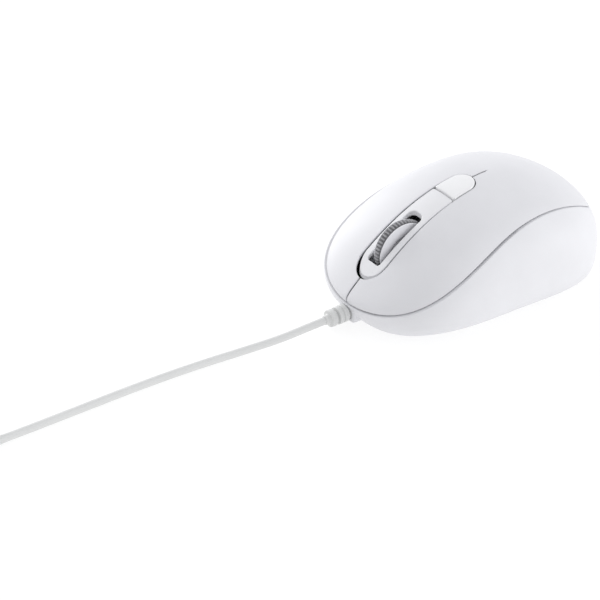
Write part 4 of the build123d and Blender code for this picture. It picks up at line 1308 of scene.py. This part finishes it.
def metal(name, colour, roughness, streak=(1.0, 14.0, 14.0)):
    """Pressed and plated metal with fine drawing streaks."""
    nodes = Nodes(name, colour, roughness)
    streaks = nodes.noise(1.6, detail=6.0, roughness=0.7, place=nodes.stretched(streak))
    nodes.drive("Base Color", nodes.shades(nodes.noise(3.5), colour, 0.88, 1.08))
    nodes.drive("Roughness", nodes.between(streaks, roughness - 0.08, roughness + 0.14, 0.25, 0.75))
    nodes.bump(streaks, 0.004, 0.4)
    nodes.set(metallic=1.0)
    return nodes.material


def circuit_board(name, colour, roughness):
    """Green solder resist over copper tracks, with pale via rings."""
    nodes = Nodes(name, colour, roughness)
    tracks_x = nodes.between(nodes.waves(1.9, "X", 2.2), 0.0, 1.0, 0.62, 0.72)
    tracks_y = nodes.between(nodes.waves(2.7, "Y", 2.8), 0.0, 1.0, 0.68, 0.78)
    weave = nodes.noise(0.5)
    plain = nodes.shades(weave, colour, 0.85, 1.1)
    copper = nodes.shades(weave, colour, 1.5, 1.9)
    board = nodes.blended(tracks_x, plain, copper)
    board = nodes.blended(tracks_y, board, copper)
    vias = nodes.between(nodes.cells(4.2), 1.0, 0.0, 0.09, 0.12)
    tin = nodes.colours(weave, (0.55, 0.55, 0.5), (0.68, 0.67, 0.6))
    nodes.drive("Base Color", nodes.blended(vias, board, tin))
    nodes.drive("Roughness", nodes.between(weave, roughness - 0.06, roughness + 0.08))
    nodes.bump(tracks_x, 0.03, 0.6)
    return nodes.material


def clear(name, colour, roughness, weight):
    """Clear moulding with faint flow lines."""
    nodes = Nodes(name, colour, roughness)
    flow = nodes.noise(2.2, detail=2.0, place=nodes.stretched((1.0, 3.0, 1.0)))
    nodes.drive("Base Color", nodes.shades(flow, colour, 0.94, 1.0))
    nodes.drive("Roughness", nodes.between(flow, roughness, roughness + 0.06))
    nodes.bump(flow, 0.01, 0.2)
    nodes.set(transmission_weight=weight, ior=1.49)
    return nodes.material


def glide(name, colour, roughness):
    """Waxy low-friction plastic, scuffed along the way that it slides."""
    nodes = Nodes(name, colour, roughness)
    scuffs = nodes.noise(1.2, detail=6.0, roughness=0.75, place=nodes.stretched((6.0, 0.7, 1.0)))
    nodes.drive("Base Color", nodes.shades(nodes.noise(5.0), colour, 0.93, 1.04))
    nodes.drive("Roughness", nodes.between(scuffs, roughness - 0.1, roughness + 0.2, 0.35, 0.7))
    nodes.bump(scuffs, 0.01, 0.35)
    nodes.set(subsurface_weight=0.1, subsurface_scale=0.001)
    return nodes.material


def make_materials():
    """One material for each of the record's slots."""
    black = (0.018, 0.018, 0.02)
    epoxy = (0.014, 0.014, 0.016)
    return {
        "white_shell": moulded("satin_shell", (0.735, 0.735, 0.76), 0.5),
        "white_base": moulded("satin_base", (0.76, 0.76, 0.785), 0.52),
        "white_console": moulded("satin_console", (0.8, 0.8, 0.82), 0.42),
        "white_gloss": glossy("polished_button", (0.86, 0.86, 0.87), 0.2),
        "white_wheel": glossy("wheel_plastic", (0.8, 0.8, 0.83), 0.35, 0.2),
        "grey_rubber": rubber("tread_rubber", (0.34, 0.34, 0.355), 0.72, wear=1.15),
        "grey_inner_plastic": moulded("inner_plastic", (0.34, 0.35, 0.37), 0.55),
        "steel": metal("plated_steel", (0.55, 0.55, 0.56), 0.3),
        "encoder_case": moulded("encoder_plastic", (0.02, 0.05, 0.2), 0.45),
        "encoder_rotor": moulded("rotor_nylon", (0.6, 0.57, 0.45), 0.5),
        "board_green": circuit_board("solder_resist", (0.01, 0.075, 0.025), 0.35),
        "switch_black": moulded("switch_case", black, 0.45, spread=0.15),
        "tact_steel": metal("pressed_cover", (0.5, 0.5, 0.52), 0.35),
        "plunger_white": moulded("white_plunger", (0.7, 0.7, 0.66), 0.4),
        "plunger_black": moulded("black_plunger", black, 0.5, spread=0.15),
        "chip_black": moulded("chip_epoxy", epoxy, 0.6, spread=0.2, grain_mm=0.15),
        "clear_lens": clear("lens_moulding", (0.93, 0.95, 0.96), 0.05, 0.95),
        "lamp_red": clear("lamp_resin", (0.8, 0.05, 0.03), 0.08, 0.7),
        "capacitor_can": metal("capacitor_sleeve", (0.6, 0.6, 0.63), 0.4, (14.0, 14.0, 1.0)),
        "connector_white": moulded("connector_nylon", (0.68, 0.64, 0.54), 0.5),
        "lead_jacket": jacket("inner_lead_jacket", (0.4, 0.4, 0.41), 0.5),
        "glide_plastic": glide("glide_wax", (0.62, 0.635, 0.66), 0.35),
        "cable_jacket": jacket("grey_jacket", (0.68, 0.685, 0.68), 0.5),
        "plug_grip": jacket("grip_moulding", (0.66, 0.665, 0.66), 0.5),
        "plug_steel": metal("plug_plating", (0.62, 0.63, 0.65), 0.22),
        "plug_tongue": moulded("tongue_plastic", (0.75, 0.75, 0.72), 0.4),
        "contact_gold": metal("gold_plating", (0.83, 0.6, 0.2), 0.25),
    }


# ---- stage -----------------------------------------------------------------------------------------
WORLD_STRENGTH = 0.95
DIM_AZIMUTH = radians(25)
DIM_SHARE = 0.6
DIM_DOWN = -0.25
DIM_FROM = 0.2
DIM_FULL = 0.95
PANEL_ELEVATION = radians(14)
PANEL_DISTANCE = 1.2
PANEL_SIZE = 0.6
FLOOR_HALF = 2.5
FLOOR_GLOW = 0.72  # the floor is lit from below, like a light table, so that it stays white


def make_floor():
    data = bpy.data.meshes.new("floor")
    corners = [(x * FLOOR_HALF, y * FLOOR_HALF, 0.0) for x, y in ((-1, -1), (1, -1), (1, 1), (-1, 1))]
    data.from_pydata(corners, [], [(0, 1, 2, 3)])
    floor = add_object("floor", data)
    nodes = Nodes("pale_floor", (0.3, 0.3, 0.3), 0.8)
    cloud = nodes.noise(300.0, detail=2.0)
    nodes.drive("Base Color", nodes.colours(cloud, (0.29, 0.29, 0.29), (0.31, 0.31, 0.31)))
    nodes.set(emission_color=(1.0, 1.0, 1.0, 1.0), emission_strength=FLOOR_GLOW)
    floor.data.materials.append(nodes.material)


def make_light(name, azimuth, power):
    """A soft low panel that faces the mouse."""
    data = bpy.data.lights.new(name, "AREA")
    data.shape = "DISK"
    data.size = PANEL_SIZE
    data.energy = power
    light = add_object(name, data)
    away = towards(azimuth, PANEL_ELEVATION)
    light.location = AIM + away * PANEL_DISTANCE
    light.rotation_euler = away.to_track_quat("Z", "Y").to_euler()


def dim_ahead(tree, background):
    """Makes the surroundings dimmer low down ahead of the nose, as a dark studio wall would."""
    direction = add_node(tree, "TexCoord").outputs["Generated"]
    wall = (sin(DIM_AZIMUTH), -cos(DIM_AZIMUTH), DIM_DOWN)
    dot = add_node(tree, "VectorMath", {0: direction, 1: wall}, operation="DOT_PRODUCT")
    values = {
        "Value": dot.outputs["Value"], "From Min": DIM_FROM, "From Max": DIM_FULL,
        "To Min": WORLD_STRENGTH, "To Max": WORLD_STRENGTH * DIM_SHARE,
    }
    strength = add_node(tree, "MapRange", values, interpolation_type="SMOOTHSTEP")
    tree.links.new(strength.outputs["Result"], background.inputs["Strength"])


def make_lighting():
    world = bpy.data.worlds.new("studio")
    world.use_nodes = True
    background = world.node_tree.nodes["Background"]
    background.inputs["Color"].default_value = (0.98, 0.985, 1.0, 1.0)
    dim_ahead(world.node_tree, background)
    bpy.context.scene.world = world
    bpy.context.scene.view_settings.view_transform = "Standard"
    make_light("left_panel", radians(-86), power=6.5)
    make_light("right_panel", radians(138), power=3.5)


# ---- making it all -----------------------------------------------------------------------------
def finish_piece(piece, slot, body, nodes, materials):
    piece.data.materials.clear()
    piece.data.materials.append(materials[slot])
    if body:
        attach(piece, body)
    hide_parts(*nodes)


def dress_nodes(materials):
    """Gives every CAD node its slot's material."""
    for row in frame["record"]["subparts"]:
        node = frame["nodes"][row["node"]]
        node.data.materials.clear()
        node.data.materials.append(materials[row["material_slot"]])


make_camera()
materials = make_materials()
dress_nodes(materials)

cable = make_cable()
relief = strain_relief()
tie = coil_tie()
finish_piece(cable, "cable_jacket", "root", ["cable", "cable_coil", "cable_end"], materials)
finish_piece(relief, "cable_jacket", "root", ["strain_relief"], materials)
finish_piece(tie, "plunger_black", "root", [], materials)

# the cover's left and right halves, each with the CAD nodes that it replaces
keys = ((-1, "left_key", ["left_button", "top_cover"]), (1, "right_key", ["right_button"]))
for side, key, nodes in keys:
    half = cover_half(side)
    finish_piece(half, "white_shell", None, nodes, materials)
    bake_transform(half)

for make_piece, slot, body, node in (
    (base_shell, "white_base", "root", "base_shell"),
    (centre_strip, "white_console", "root", "centre_strip"),
    (dpi_button, "white_gloss", "dpi_key", "dpi_button"),
    (wheel_tyre, "grey_rubber", "wheel", "wheel_tyre"),
    (wheel_hub, "white_wheel", "wheel", "wheel_hub"),
):
    finish_piece(make_piece(), slot, body, [node], materials)

make_floor()
make_lighting()
